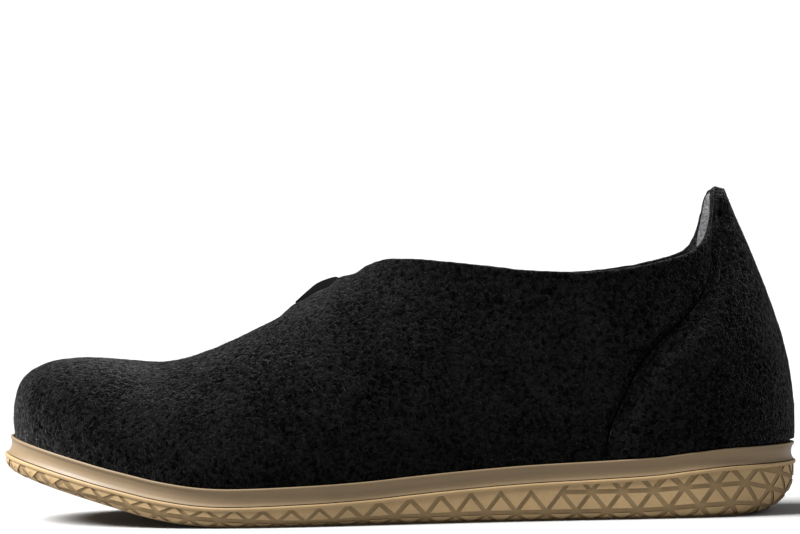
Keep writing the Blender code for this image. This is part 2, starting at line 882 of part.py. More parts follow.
def build_counter(collection):
    bm = bmesh.new()
    rows = []
    for index in range(COUNTER_ROWS + 1):
        part = index / COUNTER_ROWS
        row = []
        for column in range(-COUNTER_COLUMNS, COUNTER_COLUMNS + 1):
            sign = -1 if column <= 0 else 1
            across = abs(column) / COUNTER_COLUMNS
            start = counter_start(sign, across * counter_limit(sign, COUNTER_LOW))
            rise = start + part * (COUNTER_TOP - start)
            share = across * counter_limit(sign, rise)
            point = upper_point(sign, share, rise)
            row.append(bm.verts.new(point + upper_normal(sign, share, rise) * COUNTER_GAP))
        rows.append(row)
    for lower, upper in zip(rows, rows[1:]):
        for i in range(len(lower) - 1):
            bm.faces.new((lower[i], lower[i + 1], upper[i + 1], upper[i]))
    bmesh.ops.recalc_face_normals(bm, faces=bm.faces)
    bm.faces.ensure_lookup_table()
    rear = bm.faces[len(bm.faces) // 2 + COUNTER_COLUMNS]
    if rear.normal.x < 0.0:
        bmesh.ops.reverse_faces(bm, faces=bm.faces)
    bmesh.ops.triangulate(bm, faces=bm.faces, quad_method="SHORT_EDGE")
    mesh = bpy.data.meshes.new("heel_counter")
    bm.to_mesh(mesh)
    bm.free()
    panel = bpy.data.objects.new("heel_counter", mesh)
    collection.objects.link(panel)
    mesh.materials.append(material("counter_felt", (0.012, 0.012, 0.013), 0.95))
    shell = panel.modifiers.new("panel thickness", "SOLIDIFY")
    shell.thickness = COUNTER_FELT
    shell.offset = 1.0
    shell.use_even_offset = True
    return panel


def notch_edge(x):
    """Half width and height of the throat notch at a place along the shoe."""
    low = NOTCH_START
    high = THROAT_COLUMN / SIDE_COLUMNS
    for _ in range(HALVINGS):
        middle = (low + high) / 2
        if upper_row(middle)[0] > x:
            low = middle
        else:
            high = middle
    return upper_row(low)[1], upper_row(low)[2]


def build_gore(collection):
    bm = bmesh.new()
    sections = []
    for along, crown_share in GORE_ROWS:
        x = HEEL_X - along * SOLE_LENGTH
        crown = crown_share * INSTEP_HEIGHT
        notch, level = notch_edge(x)
        half = max(GORE_SHARE * notch, notch - GORE_GAP)
        rim = level - GORE_SINK
        low_half = max(GORE_SHARE * half, half - GORE_TAPER)
        middle = centre_y(x)
        section = []
        for i in range(GORE_STEPS + 1):
            across = 2 * i / GORE_STEPS - 1
            height = rim + (crown - rim) * (1 - across * across)
            section.append(bm.verts.new((x, middle + across * half, height)))
        for i in range(GORE_STEPS, -1, -1):
            above = section[i].co
            low_y = middle + (above.y - middle) * low_half / half
            section.append(bm.verts.new((x, low_y, above.z - GORE_THICKNESS)))
        sections.append(section)
    for a, b in zip(sections, sections[1:]):
        band_faces(bm, a, b)
    for section in (sections[0], sections[-1]):
        for i in range(GORE_STEPS):
            bm.faces.new((section[i], section[i + 1], section[-2 - i], section[-1 - i]))
    return finish(bm, "throat_gore", material("elastic_gore", (0.010, 0.010, 0.011), 0.9), collection)


def main():
    clear_scene()
    collection = bpy.data.collections.new("felt_slipper")
    bpy.context.scene.collection.children.link(collection)
    build_outsole(collection)
    build_midsole(collection)
    build_insole(collection)
    build_upper(collection)
    build_counter(collection)
    build_gore(collection)


main()
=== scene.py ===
import math

import bmesh
import bpy
import numpy as np
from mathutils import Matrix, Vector, noise


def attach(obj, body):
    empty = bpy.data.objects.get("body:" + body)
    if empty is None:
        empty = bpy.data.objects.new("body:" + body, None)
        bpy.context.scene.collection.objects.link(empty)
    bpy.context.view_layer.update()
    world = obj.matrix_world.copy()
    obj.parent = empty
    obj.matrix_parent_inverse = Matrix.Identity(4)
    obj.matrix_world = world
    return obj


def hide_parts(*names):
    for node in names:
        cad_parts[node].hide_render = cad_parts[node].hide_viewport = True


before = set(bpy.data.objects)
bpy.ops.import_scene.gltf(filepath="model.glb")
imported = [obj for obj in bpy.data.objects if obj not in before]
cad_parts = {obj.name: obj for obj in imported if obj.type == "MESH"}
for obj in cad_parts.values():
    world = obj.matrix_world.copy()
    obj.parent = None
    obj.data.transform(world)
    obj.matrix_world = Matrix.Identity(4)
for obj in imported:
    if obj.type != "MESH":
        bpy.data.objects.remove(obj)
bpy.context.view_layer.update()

bl_info = {
    "name": "Felt slipper",
    "version": (1, 0, 0),
    "blender": (4, 5, 0),
    "location": "3D View > Sidebar > Slipper",
    "description": "Builds a boiled wool slipper with a gum rubber sole",
    "category": "Add Mesh",
}

# The slipper stands on its sole with the toe toward -X and its outer side toward
# -Y. Lengths are metres.
MM = 0.001

# Main sizes of the sole
SOLE_LENGTH = 265.0 * MM
BALL_WIDTH = 96.0 * MM
WAIST_WIDTH = 70.0 * MM
HEEL_WIDTH = 66.0 * MM
TOE_SWING = 9.0 * MM

# Toe spring of the whole sole, from a share of the length ahead of the heel
SPRING_START = 0.704
SPRING_RADIUS = 120.0 * MM
SPRING_ANGLE = math.radians(15.5)

# Outsole
HEEL_HEIGHT = 17.2 * MM
LIP_HEIGHT = 1.3 * MM
LIP_PROUD = 1.0 * MM
LIP_ROOT = 0.05 * MM
RELIEF = 0.75 * MM
RELIEF_SLOPE = 0.35 * MM
LATTICE_ROW = 5.8 * MM
LATTICE_START = -0.6 * MM
LATTICE_ROWS = 5
TREAD_EDGE = 1.1 * MM
SIDE_TUCK = (3.2 * MM, 3.6 * MM)
HEEL_TUCK = (13.0 * MM, 12.6 * MM)
TOE_TUCK = (4.6 * MM, 3.9 * MM)
TUCK_SHARE = 0.94
TUCK_POWER = 1.5
TUCK_STEPS = 10

# Midsole band
BAND_HEIGHT = 5.9 * MM
BAND_DEPTH = 1.5 * MM
RIM_WIDTH = 1.0 * MM
RIM_DEPTH = 1.1 * MM

# Felt
CLEARANCE = 0.3 * MM
WALL_GAP = 0.45 * MM
FELT = 2.9 * MM
FELT_BULGE = 3.2 * MM
COUNTER_FELT = 1.0 * MM
COUNTER_GAP = 0.5 * MM
INSOLE_THICKNESS = 4.0 * MM

# Levels of the upper above the floor
TAB_HEIGHT = 108.2 * MM
COLLAR_HEIGHT = 80.7 * MM
INSTEP_HEIGHT = 86.1 * MM
THROAT_HEIGHT = 71.6 * MM
TOE_HEIGHT = 54.2 * MM
COLLAR_WIDTH = 61.2 * MM

# Columns of every ring: heel centre, outer side, toe tip, inner side
SIDE_COLUMNS = 62
COLUMNS = 2 * SIDE_COLUMNS
CURVE_STEPS = 16

# Shares over which the direction of the edge and of the felt are taken
SIDE_STEP = 0.006
FELT_STEP = 0.004

# Plan of the sole edge: share of the length from the heel, and the two half
# widths as shares of the width that rules there
OUTLINE = (
    # along, outer, inner
    (0.020, 0.262, 0.262),
    (0.050, 0.382, 0.380),
    (0.100, 0.464, 0.456),
    (0.180, 0.508, 0.492),
    (0.280, 0.528, 0.470),
    (0.400, 0.550, 0.436),
    (0.500, 0.553, 0.438),
    (0.600, 0.508, 0.436),
    (0.660, 0.500, 0.459),
    (0.720, 0.494, 0.484),
    (0.800, 0.450, 0.488),
    (0.880, 0.362, 0.459),
    (0.940, 0.252, 0.389),
    (0.980, 0.120, 0.284),
)

# Where each named width rules along the sole
WIDTH_ZONES = (
    # along, heel share, waist share, ball share
    (0.00, 1.0, 0.0, 0.0),
    (0.20, 1.0, 0.0, 0.0),
    (0.42, 0.0, 1.0, 0.0),
    (0.66, 0.0, 0.0, 1.0),
    (1.00, 0.0, 0.0, 1.0),
)

# Height of the outsole edge as a share of HEEL_HEIGHT
SOLE_RISE = (
    # along, height
    (0.000, 1.000),
    (0.085, 0.965),
    (0.135, 0.900),
    (0.180, 0.822),
    (0.235, 0.778),
    (0.330, 0.720),
    (0.430, 0.616),
    (0.480, 0.550),
    (0.530, 0.480),
    (0.600, 0.422),
    (0.690, 0.388),
    (0.770, 0.388),
    (0.820, 0.368),
    (0.880, 0.340),
    (1.000, 0.332),
)

# Section of the band: inset from the lip edge as a share of BAND_DEPTH and
# height as a share of BAND_HEIGHT
BAND_SECTION = (
    # inset, height
    (0.53, 0.00),
    (0.90, 0.20),
    (1.00, 0.42),
    (0.77, 0.72),
    (0.30, 0.93),
    (0.37, 1.00),
)

# Upper: one row per place along the side of the foot edge. The top point is a
# share of SOLE_LENGTH from the heel, a half width as a share of COLLAR_WIDTH and
# a share of the level named there. Belly, bulge, crown and drop shape the
# section between foot and top; bulge is a share of FELT_BULGE.
LEVELS = {
    "tab": TAB_HEIGHT,
    "collar": COLLAR_HEIGHT,
    "instep": INSTEP_HEIGHT,
    "throat": THROAT_HEIGHT,
    "toe": TOE_HEIGHT,
}
UPPER_ROWS = (
    # foot, along, half width, level, share, belly, bulge, crown, drop
    (0.000, 0.0962, 0.000, "tab", 1.000, 0.42, 0.84, 0.41, 0.275),
    (0.022, 0.0974, 0.069, "tab", 0.997, 0.42, 0.84, 0.41, 0.275),
    (0.044, 0.1000, 0.127, "tab", 0.976, 0.42, 0.84, 0.40, 0.275),
    (0.066, 0.1030, 0.186, "tab", 0.928, 0.41, 0.84, 0.38, 0.28),
    (0.088, 0.1075, 0.242, "tab", 0.878, 0.41, 0.84, 0.34, 0.28),
    (0.112, 0.1155, 0.307, "tab", 0.840, 0.40, 0.84, 0.29, 0.29),
    (0.140, 0.1317, 0.373, "tab", 0.806, 0.39, 0.87, 0.25, 0.29),
    (0.175, 0.1630, 0.435, "collar", 1.047, 0.38, 0.84, 0.20, 0.30),
    (0.215, 0.2045, 0.474, "collar", 1.019, 0.38, 0.81, 0.18, 0.30),
    (0.275, 0.2717, 0.500, "collar", 1.000, 0.39, 0.81, 0.17, 0.30),
    (0.335, 0.3377, 0.497, "collar", 1.010, 0.40, 0.87, 0.18, 0.30),
    (0.390, 0.3962, 0.471, "collar", 1.034, 0.42, 0.94, 0.22, 0.28),
    (0.440, 0.4491, 0.425, "instep", 0.989, 0.44, 1.00, 0.28, 0.24),
    (0.476, 0.4849, 0.366, "instep", 0.999, 0.46, 1.00, 0.32, 0.21),
    (0.500, 0.5094, 0.294, "instep", 1.001, 0.47, 1.00, 0.36, 0.18),
    (0.516, 0.5234, 0.248, "instep", 0.993, 0.48, 1.00, 0.39, 0.16),
    (0.532, 0.5385, 0.206, "instep", 0.973, 0.48, 1.00, 0.41, 0.13),
    (0.548, 0.5536, 0.167, "instep", 0.944, 0.49, 1.00, 0.43, 0.10),
    (0.565, 0.5709, 0.129, "instep", 0.932, 0.49, 1.00, 0.44, 0.08),
    (0.581, 0.5845, 0.095, "instep", 0.895, 0.50, 1.00, 0.45, 0.06),
    (0.597, 0.5996, 0.064, "instep", 0.877, 0.50, 1.00, 0.46, 0.04),
    (0.613, 0.6147, 0.033, "instep", 0.850, 0.51, 0.97, 0.47, 0.02),
    (0.629, 0.6294, 0.000, "throat", 0.995, 0.51, 0.94, 0.48, 0.00),
    (0.645, 0.6479, 0.000, "throat", 0.938, 0.52, 0.94, 0.50, 0.00),
    (0.669, 0.6736, 0.000, "throat", 0.889, 0.53, 0.91, 0.52, 0.00),
    (0.694, 0.6992, 0.000, "throat", 0.843, 0.54, 0.87, 0.54, 0.00),
    (0.718, 0.7249, 0.000, "toe", 1.062, 0.56, 0.84, 0.56, 0.00),
    (0.742, 0.7502, 0.000, "toe", 1.018, 0.58, 0.81, 0.58, 0.00),
    (0.766, 0.7755, 0.000, "toe", 0.984, 0.60, 0.78, 0.60, 0.00),
    (0.790, 0.8011, 0.000, "toe", 0.968, 0.62, 0.78, 0.62, 0.00),
    (0.823, 0.8358, 0.000, "toe", 0.981, 0.65, 0.78, 0.65, 0.00),
    (0.855, 0.8679, 0.000, "toe", 0.995, 0.68, 0.75, 0.68, 0.00),
    (0.887, 0.8887, 0.000, "toe", 1.000, 0.72, 0.72, 0.71, 0.00),
    (0.935, 0.8925, 0.000, "toe", 1.000, 0.77, 0.66, 0.76, 0.00),
    (1.000, 0.8925, 0.000, "toe", 1.000, 0.80, 0.62, 0.80, 0.00),
)

# Swing of the middle line of the upper as a share of TOE_SWING
UPPER_SWING = (
    # along, swing
    (0.00, 0.00),
    (0.30, 0.08),
    (0.50, 0.20),
    (0.65, 0.40),
    (0.80, 0.70),
    (0.90, 0.90),
    (1.00, 1.00),
)
THROAT_COLUMN = 39

# Front edge of the heel panel: height as a share of TAB_HEIGHT and place as a
# share of SOLE_LENGTH from the heel
COUNTER_EDGE = (
    # height, along
    (0.176, 0.2480),
    (0.279, 0.2380),
    (0.334, 0.2280),
    (0.410, 0.2125),
    (0.464, 0.2000),
    (0.508, 0.1850),
    (0.551, 0.1670),
    (0.591, 0.1480),
    (0.638, 0.1300),
    (0.702, 0.1136),
    (0.776, 0.1068),
    (1.035, 0.1038),
)
COUNTER_REACH = 0.40

# Throat gore: place as a share of SOLE_LENGTH from the heel and crown height as
# a share of INSTEP_HEIGHT
GORE_ROWS = (
    # along, crown height
    (0.6204, 0.858),
    (0.6117, 0.881),
    (0.6011, 0.906),
    (0.5906, 0.920),
    (0.5808, 0.929),
    (0.5717, 0.934),
)
NOTCH_START = 0.45

# Steps of each search along a side or up a section
HALVINGS = 40


def slope_at(xs, ys, index):
    if index == 0:
        return (ys[1] - ys[0]) / (xs[1] - xs[0])
    if index == len(xs) - 1:
        return (ys[-1] - ys[-2]) / (xs[-1] - xs[-2])
    before = (ys[index] - ys[index - 1]) / (xs[index] - xs[index - 1])
    after = (ys[index + 1] - ys[index]) / (xs[index + 1] - xs[index])
    if before * after <= 0.0:
        return 0.0
    return 2.0 * before * after / (before + after)


def hermite(start, leave, end, arrive, t):
    """Point of a cubic between two points with the given tangents."""
    place = start * (2 * t ** 3 - 3 * t ** 2 + 1)
    place = place + leave * (t ** 3 - 2 * t ** 2 + t)
    place = place + end * (3 * t ** 2 - 2 * t ** 3)
    return place + arrive * (t ** 3 - t ** 2)


def smooth_value(xs, ys, x):
    """A curve through the rows that never overshoots them."""
    if x <= xs[0]:
        return ys[0]
    if x >= xs[-1]:
        return ys[-1]
    i = 0
    while xs[i + 1] < x:
        i += 1
    span = xs[i + 1] - xs[i]
    leave = slope_at(xs, ys, i) * span
    arrive = slope_at(xs, ys, i + 1) * span
    return hermite(ys[i], leave, ys[i + 1], arrive, (x - xs[i]) / span)


def read_table(rows, x, column=1):
    """Smooth value of a column of a table at a place in its first column."""
    return smooth_value([row[0] for row in rows], [row[column] for row in rows], x)


def find_span(lengths, target):
    """Span of a path that holds a length along it, and the part of the span."""
    index = 0
    while index < len(lengths) - 2 and lengths[index + 1] < target:
        index += 1
    return index, (target - lengths[index]) / (lengths[index + 1] - lengths[index])


def last_that_holds(low, high, test):
    """Place between low and high up to which a test holds."""
    for _ in range(HALVINGS):
        middle = (low + high) / 2
        if test(middle):
            low = middle
        else:
            high = middle
    return low


def ruling_width(along):
    heel, waist, ball = [read_table(WIDTH_ZONES, along, column) for column in (1, 2, 3)]
    return heel * HEEL_WIDTH + waist * WAIST_WIDTH + ball * BALL_WIDTH


HEEL_X = SOLE_LENGTH / 2
SPRING_START_X = HEEL_X - SPRING_START * SOLE_LENGTH


def spring_arc():
    return SPRING_RADIUS * SPRING_ANGLE


def toe_flat_x():
    """Unbent place of the toe tip whose bent lip ends at half the length."""
    lip = SOLE_RISE[-1][1] * HEEL_HEIGHT
    arc_run = (SPRING_RADIUS - lip) * math.sin(SPRING_ANGLE)
    rest = SOLE_LENGTH / 2 + SPRING_START_X - arc_run
    return SPRING_START_X - spring_arc() - rest / math.cos(SPRING_ANGLE)


FLAT_LENGTH = HEEL_X - toe_flat_x()


def bend(x, y, height):
    """Carry a point of the unbent sole onto the toe spring."""
    past = SPRING_START_X - x
    if past <= 0.0:
        return Vector((x, y, height))
    angle = min(past / SPRING_RADIUS, SPRING_ANGLE)
    rest = max(0.0, past - spring_arc())
    reach = SPRING_RADIUS - height
    bent_x = SPRING_START_X - reach * math.sin(angle) - rest * math.cos(angle)
    bent_z = SPRING_RADIUS - reach * math.cos(angle) + rest * math.sin(angle)
    return Vector((bent_x, y, bent_z))


def outline_points():
    outer = []
    inner = []
    for along, outer_share, inner_share in OUTLINE:
        width = ruling_width(along)
        x = HEEL_X - along * FLAT_LENGTH
        outer.append(Vector((x, -outer_share * width)))
        inner.append(Vector((x, inner_share * width)))
    heel = Vector((HEEL_X, 0.0))
    toe = Vector((HEEL_X - FLAT_LENGTH, TOE_SWING))
    return [heel] + outer + [toe] + inner[::-1]


def closed_curve(points, steps):
    """Smooth closed curve through points, with tangents by chord length."""
    count = len(points)
    chords = [(points[(i + 1) % count] - points[i]).length for i in range(count)]
    tangents = []
    for i in range(count):
        before = chords[i - 1]
        after = chords[i]
        step_in = (points[i] - points[i - 1]) / before
        step_out = (points[(i + 1) % count] - points[i]) / after
        tangents.append((step_in * after + step_out * before) / (before + after))
    curve = []
    for i in range(count):
        j = (i + 1) % count
        leave = tangents[i] * chords[i]
        arrive = tangents[j] * chords[i]
        for step in range(steps):
            curve.append(hermite(points[i], leave, points[j], arrive, step / steps))
    return curve


class Side:
    """One side of the sole edge, from heel centre to toe tip."""

    def __init__(self, points):
        self.points = points
        self.lengths = [0.0]
        for a, b in zip(points, points[1:]):
            self.lengths.append(self.lengths[-1] + (b - a).length)
        self.total = self.lengths[-1]

    def at(self, share):
        index, t = find_span(self.lengths, max(0.0, min(1.0, share)) * self.total)
        return self.points[index].lerp(self.points[index + 1], t)

    def outward(self, share, sign):
        """Direction out of the sole at a share of the side."""
        if share <= 0.0:
            return Vector((1.0, 0.0))
        if share >= 1.0:
            return Vector((-1.0, 0.0))
        low = self.at(share - SIDE_STEP)
        high = self.at(share + SIDE_STEP)
        if share < SIDE_STEP:
            mirrored = self.at(SIDE_STEP - share)
            low = Vector((mirrored.x, -mirrored.y))
        along = (high - low).normalized()
        return Vector((along.y * sign, -along.x * sign))


def make_sides():
    points = outline_points()
    curve = closed_curve(points, CURVE_STEPS)
    half = (len(OUTLINE) + 1) * CURVE_STEPS
    outer = curve[:half + 1]
    inner = [curve[0]] + curve[half:][::-1]
    return Side(outer), Side(inner)


OUTER_SIDE, INNER_SIDE = make_sides()


def middle_shift():
    """Put the widest points of the sole edge at equal distance from y = 0."""
    low = min(point.y for point in OUTER_SIDE.points)
    high = max(point.y for point in INNER_SIDE.points)
    return (low + high) / 2


MIDDLE = middle_shift()


def edge_point(sign, share, inset):
    """Point of the unbent sole edge; sign -1 is the outer side."""
    side = OUTER_SIDE if sign < 0 else INNER_SIDE
    point = side.at(share)
    outward = side.outward(share, sign)
    moved = point - outward * inset
    return Vector((moved.x, moved.y - MIDDLE)), outward


def ring_place(column):
    """Side and share of a column of the rings that run round the sole."""
    column = column % COLUMNS
    if column <= SIDE_COLUMNS:
        return -1, column / SIDE_COLUMNS
    return 1, (COLUMNS - column) / SIDE_COLUMNS


def sole_height(x):
    return read_table(SOLE_RISE, (HEEL_X - x) / FLAT_LENGTH) * HEEL_HEIGHT


def edge_height(column):
    """Outsole height at a column, without its inset."""
    sign, share = ring_place(column)
    point, _ = edge_point(sign, share, 0.0)
    return sole_height(point.x)


def sole_point(column, inset, height):
    """Bent point at a column; the ends take a part column by blending."""
    low = math.floor(column)
    part = column - low
    points = []
    for index in (low, low + 1):
        sign, share = ring_place(index)
        flat, _ = edge_point(sign, share, inset)
        points.append(flat)
    flat = points[0].lerp(points[1], part)
    return bend(flat.x, flat.y, height)


def outward_x(column):
    sign, share = ring_place(column)
    _, outward = edge_point(sign, share, 0.0)
    return outward.x


def tuck_size(column):
    """Width and height of the rounding under the sole edge."""
    facing = outward_x(column)
    heel = max(0.0, facing) ** TUCK_POWER
    toe = max(0.0, -facing) ** TUCK_POWER
    width, rise = [
        side + heel * (back - side) + toe * (front - side)
        for side, back, front in zip(SIDE_TUCK, HEEL_TUCK, TOE_TUCK)]
    most = edge_height(column) - LIP_HEIGHT - RELIEF
    return width, min(rise, TUCK_SHARE * most)


def between_points(a, b, t):
    return a[0] + t * (b[0] - a[0]), a[1] + t * (b[1] - a[1])


class WallProfile:
    """Outsole wall at one column: inset and height against length up the wall."""

    def __init__(self, column):
        width, rise = tuck_size(column)
        self.top = edge_height(column) - LIP_HEIGHT
        self.spots = []
        for step in range(TUCK_STEPS + 1):
            angle = math.pi / 2 * step / TUCK_STEPS
            inset = LIP_PROUD + width * (1.0 - math.sin(angle))
            height = RELIEF + rise * (1.0 - math.cos(angle))
            self.spots.append((inset, height))
        self.spots.append((LIP_PROUD, self.top))
        self.lengths = [0.0]
        for a, b in zip(self.spots, self.spots[1:]):
            self.lengths.append(self.lengths[-1] + math.hypot(b[0] - a[0], b[1] - a[1]))
        self.total = self.lengths[-1]

    def at(self, length):
        """Inset and height; below its start the wall runs level inward."""
        if length <= 0.0:
            return self.spots[0][0] - length, self.spots[0][1]
        index, t = find_span(self.lengths, min(length, self.total))
        a = self.spots[index]
        b = self.spots[index + 1]
        return between_points(a, b, t)


def ladder(bm, ring):
    """Close a ring whose two halves face each other with cross strips."""
    count = len(ring)
    half = count // 2
    faces = [bm.faces.new((ring[0], ring[1], ring[count - 1]))]
    for i in range(1, half - 1):
        faces.append(bm.faces.new((ring[i], ring[i + 1], ring[count - i - 1], ring[count - i])))
    faces.append(bm.faces.new((ring[half - 1], ring[half], ring[half + 1])))
    return faces


def band_faces(bm, lower, upper):
    count = len(lower)
    for i in range(count):
        j = (i + 1) % count
        bm.faces.new((lower[i], lower[j], upper[j], upper[i]))


def stack_rings(bm, rings):
    """Join each ring of vertices to the next with a band of faces."""
    for lower, upper in zip(rings, rings[1:]):
        band_faces(bm, lower, upper)


def fine_ring(bm, place):
    """Ring of vertices round the shoe, given the point of each fine column."""
    return [bm.verts.new(place(fine)) for fine in range(FINE_COLUMNS)]


def close_sheet(bm, face, back, ends):
    """Join two grids of vertices along their sides, and at their ends if asked."""
    rows = len(face)
    columns = len(face[0])
    for r in range(rows - 1):
        for c in range(columns - 1):
            bm.faces.new((face[r][c], face[r][c + 1], face[r + 1][c + 1], face[r + 1][c]))
            bm.faces.new((back[r][c], back[r + 1][c], back[r + 1][c + 1], back[r][c + 1]))
        for c in (0, columns - 1):
            bm.faces.new((face[r][c], face[r + 1][c], back[r + 1][c], back[r][c]))
    if ends:
        for c in range(columns - 1):
            for r in (0, rows - 1):
                bm.faces.new((face[r][c], face[r][c + 1], back[r][c + 1], back[r][c]))


def floor_lift():
    return BAND_HEIGHT - RIM_DEPTH + CLEARANCE


def foot_inset():
    return BAND_SECTION[-1][0] * BAND_DEPTH + RIM_WIDTH + WALL_GAP


def centre_y(x):
    """Middle line of the upper, which swings toward the inner side at the toe."""
    return read_table(UPPER_SWING, (HEEL_X - x) / SOLE_LENGTH) * TOE_SWING - MIDDLE


def upper_row(share):
    """Top point and section shape at a share of the way along a side."""
    feet = [row[0] for row in UPPER_ROWS]
    heights = [LEVELS[row[3]] * row[4] for row in UPPER_ROWS]
    height = smooth_value(feet, heights, share)
    along, half, belly, bulge, crown, drop = [
        read_table(UPPER_ROWS, share, column) for column in (1, 2, 5, 6, 7, 8)]
    top_x = HEEL_X - along * SOLE_LENGTH
    return top_x, half * COLLAR_WIDTH, height, belly, bulge * FELT_BULGE, crown, drop


def section_spots(sign, share):
    """The four points that shape one section of the upper, foot edge first."""
    top_x, half, height, belly, bulge, crown, drop = upper_row(share)
    if sign > 0:
        part = min(share / TAB_REACH, 1.0)
        top_x -= TAB_FORWARD * (4 * part * (1 - part)) ** 2
    top = Vector((top_x, centre_y(top_x) + sign * half, height))
    flat, outward = edge_point(sign, share, foot_inset())
    foot = bend(flat.x, flat.y, sole_height(flat.x) + floor_lift())
    away = Vector((outward.x, outward.y, 0.0))
    tall = top.z - foot.z
    level = Vector((foot.x - top.x, foot.y - top.y, 0.0))
    first = foot + Vector((0.0, 0.0, tall * belly)) + away * bulge
    second = top + level * crown - Vector((0.0, 0.0, tall * drop))
    return foot, first, second, top


def upper_point(sign, share, rise):
    """Outer face of the felt upper; rise runs from foot edge to top edge."""
    foot, first, second, top = section_spots(sign, share)
    t = rise
    place = foot * (1 - t) ** 3
    place = place + first * (3 * t * (1 - t) ** 2)
    place = place + second * (3 * t * t * (1 - t))
    return place + top * t ** 3


def upper_normal(sign, share, rise):
    low = max(0.0, rise - FELT_STEP)
    high = min(1.0, rise + FELT_STEP)
    up = upper_point(sign, share, high) - upper_point(sign, share, low)
    if share < FELT_STEP:
        behind = upper_point(-sign, FELT_STEP - share, rise)
    else:
        behind = upper_point(sign, share - FELT_STEP, rise)
    ahead = upper_point(sign, share + FELT_STEP, rise)
    return ((ahead - behind).cross(up) * sign).normalized()


def counter_limit(sign, rise):
    """Share along the side where the heel panel ends at this rise."""
    heights = [row[0] * TAB_HEIGHT for row in COUNTER_EDGE]
    places = [HEEL_X - row[1] * SOLE_LENGTH for row in COUNTER_EDGE]

    def behind_edge(share):
        point = upper_point(sign, share, rise)
        return point.x > smooth_value(heights, places, point.z)

    return last_that_holds(0.0, COUNTER_REACH, behind_edge)


def notch_edge(x):
    """Half width and height of the throat notch at a place along the shoe."""
    throat = THROAT_COLUMN / SIDE_COLUMNS
    share = last_that_holds(NOTCH_START, throat, lambda middle: upper_row(middle)[0] > x)
    return upper_row(share)[1:3]


# Steps of the finished surfaces round the shoe, up a section and across
FINE = 4
FINE_COLUMNS = COLUMNS * FINE
FINE_HALF = FINE_COLUMNS // 2
FINE_THROAT = THROAT_COLUMN * FINE
FELT_ROWS = 46
LINING_ROWS = 22
PANEL_COLUMNS = 44
PANEL_ROWS = 46
CROSS_STEPS = 18

# Insole: radius of its edge, height of its side and depth of its footprint
INSOLE_ROUND = 1.6 * MM
INSOLE_SIDE = 1.2 * MM
FOOTPRINT_DEPTH = 0.7 * MM

# Steps up the band, and its rim as inset from the band's top edge and lift
BAND_ROWS = 24
RIM_SECTION = (
    (0.15 * MM, 0.08 * MM),
    (RIM_WIDTH - 0.2 * MM, 0.05 * MM),
    (RIM_WIDTH, -0.15 * MM),
    (RIM_WIDTH, -RIM_DEPTH),
)

# Heel panel: lowest rise and how far up it goes, how its columns crowd toward its
# front edge, and the rounding of its top
PANEL_FOOT = 0.02
PANEL_REACH = 0.975
PANEL_CROWDING = 1.35
PANEL_ROUND_TOP = 0.8 * MM

# Points nearer to each other than this are one point
SAME = 1e-5

# How far the seam of the heel panel presses the felt, as a share of FELT, and over
# which height it fades out toward the tab, down to which share
SEAM_REACH = 0.42
SEAM_FADE = 0.35 * TAB_HEIGHT
SEAM_LEAST = 0.25
FRONT_STEPS = 40

# Lumps of the felt: how much finer each layer of noise is, and its share
LUMP_NOISE = ((1.0, 0.65), (0.37, 0.75), (2.1, 0.3))

# Steps along a dent, and the shares over which dents fade at foot and top
DENT_STEPS = 8
DENT_FOOT = 0.12
DENT_TOP = 0.06

# Steps of the rounding of a cut edge, and where the drop of a layer below the
# collar is given, as shares along the side
ARC_STEPS = 4
DROP_PLACES = (0.0, 0.075, 0.14, 1.0)
LINING_DROP = (1.1 * MM, 1.3 * MM, 6.5 * MM, 6.5 * MM)
NO_DROP = (0.0, 0.0, 0.0, 0.0)

# Extra felt at the top of the tab, and how far down it reaches
TAB_HEM = 1.2 * MM
HEM_REACH = 0.28 * TAB_HEIGHT

# How far the inner edge of the tab stands forward and the share it reaches
TAB_FORWARD = 1.3 * MM
TAB_REACH = 0.14

# Front end of the elastic insert: place along the shoe and crown height as
# shares of SOLE_LENGTH and INSTEP_HEIGHT
GORE_FRONT = (0.6285, 0.836)
INSERT_STEPS = 40
INSERT_RIBS = 17
RIB_HEIGHT = 0.07 * MM

# Soft dents of the felt, each along a line on one side of the foot. Places are
# shares along the side and up the section; width is a share of SOLE_LENGTH and
# depth a share of FELT.
DENTS = (
    # side, along a, up a, along b, up b, width, depth
    (-1, 0.650, 0.98, 0.610, 0.60, 0.030, 0.16),
    (1, 0.650, 0.98, 0.600, 0.62, 0.030, 0.16),
    (-1, 0.745, 0.97, 0.700, 0.55, 0.040, 0.14),
    (1, 0.745, 0.97, 0.690, 0.55, 0.040, 0.14),
    (-1, 0.420, 0.80, 0.330, 0.52, 0.045, 0.13),
    (1, 0.430, 0.78, 0.340, 0.50, 0.045, 0.13),
    (-1, 0.560, 0.55, 0.520, 0.20, 0.035, 0.10),
    (1, 0.570, 0.50, 0.530, 0.20, 0.035, 0.10),
    (-1, 0.300, 0.45, 0.250, 0.16, 0.035, 0.10),
    (1, 0.300, 0.45, 0.255, 0.16, 0.035, 0.10),
    (-1, 0.100, 0.72, 0.128, 0.50, 0.022, 0.12),
    (1, 0.100, 0.72, 0.128, 0.50, 0.022, 0.12),
)

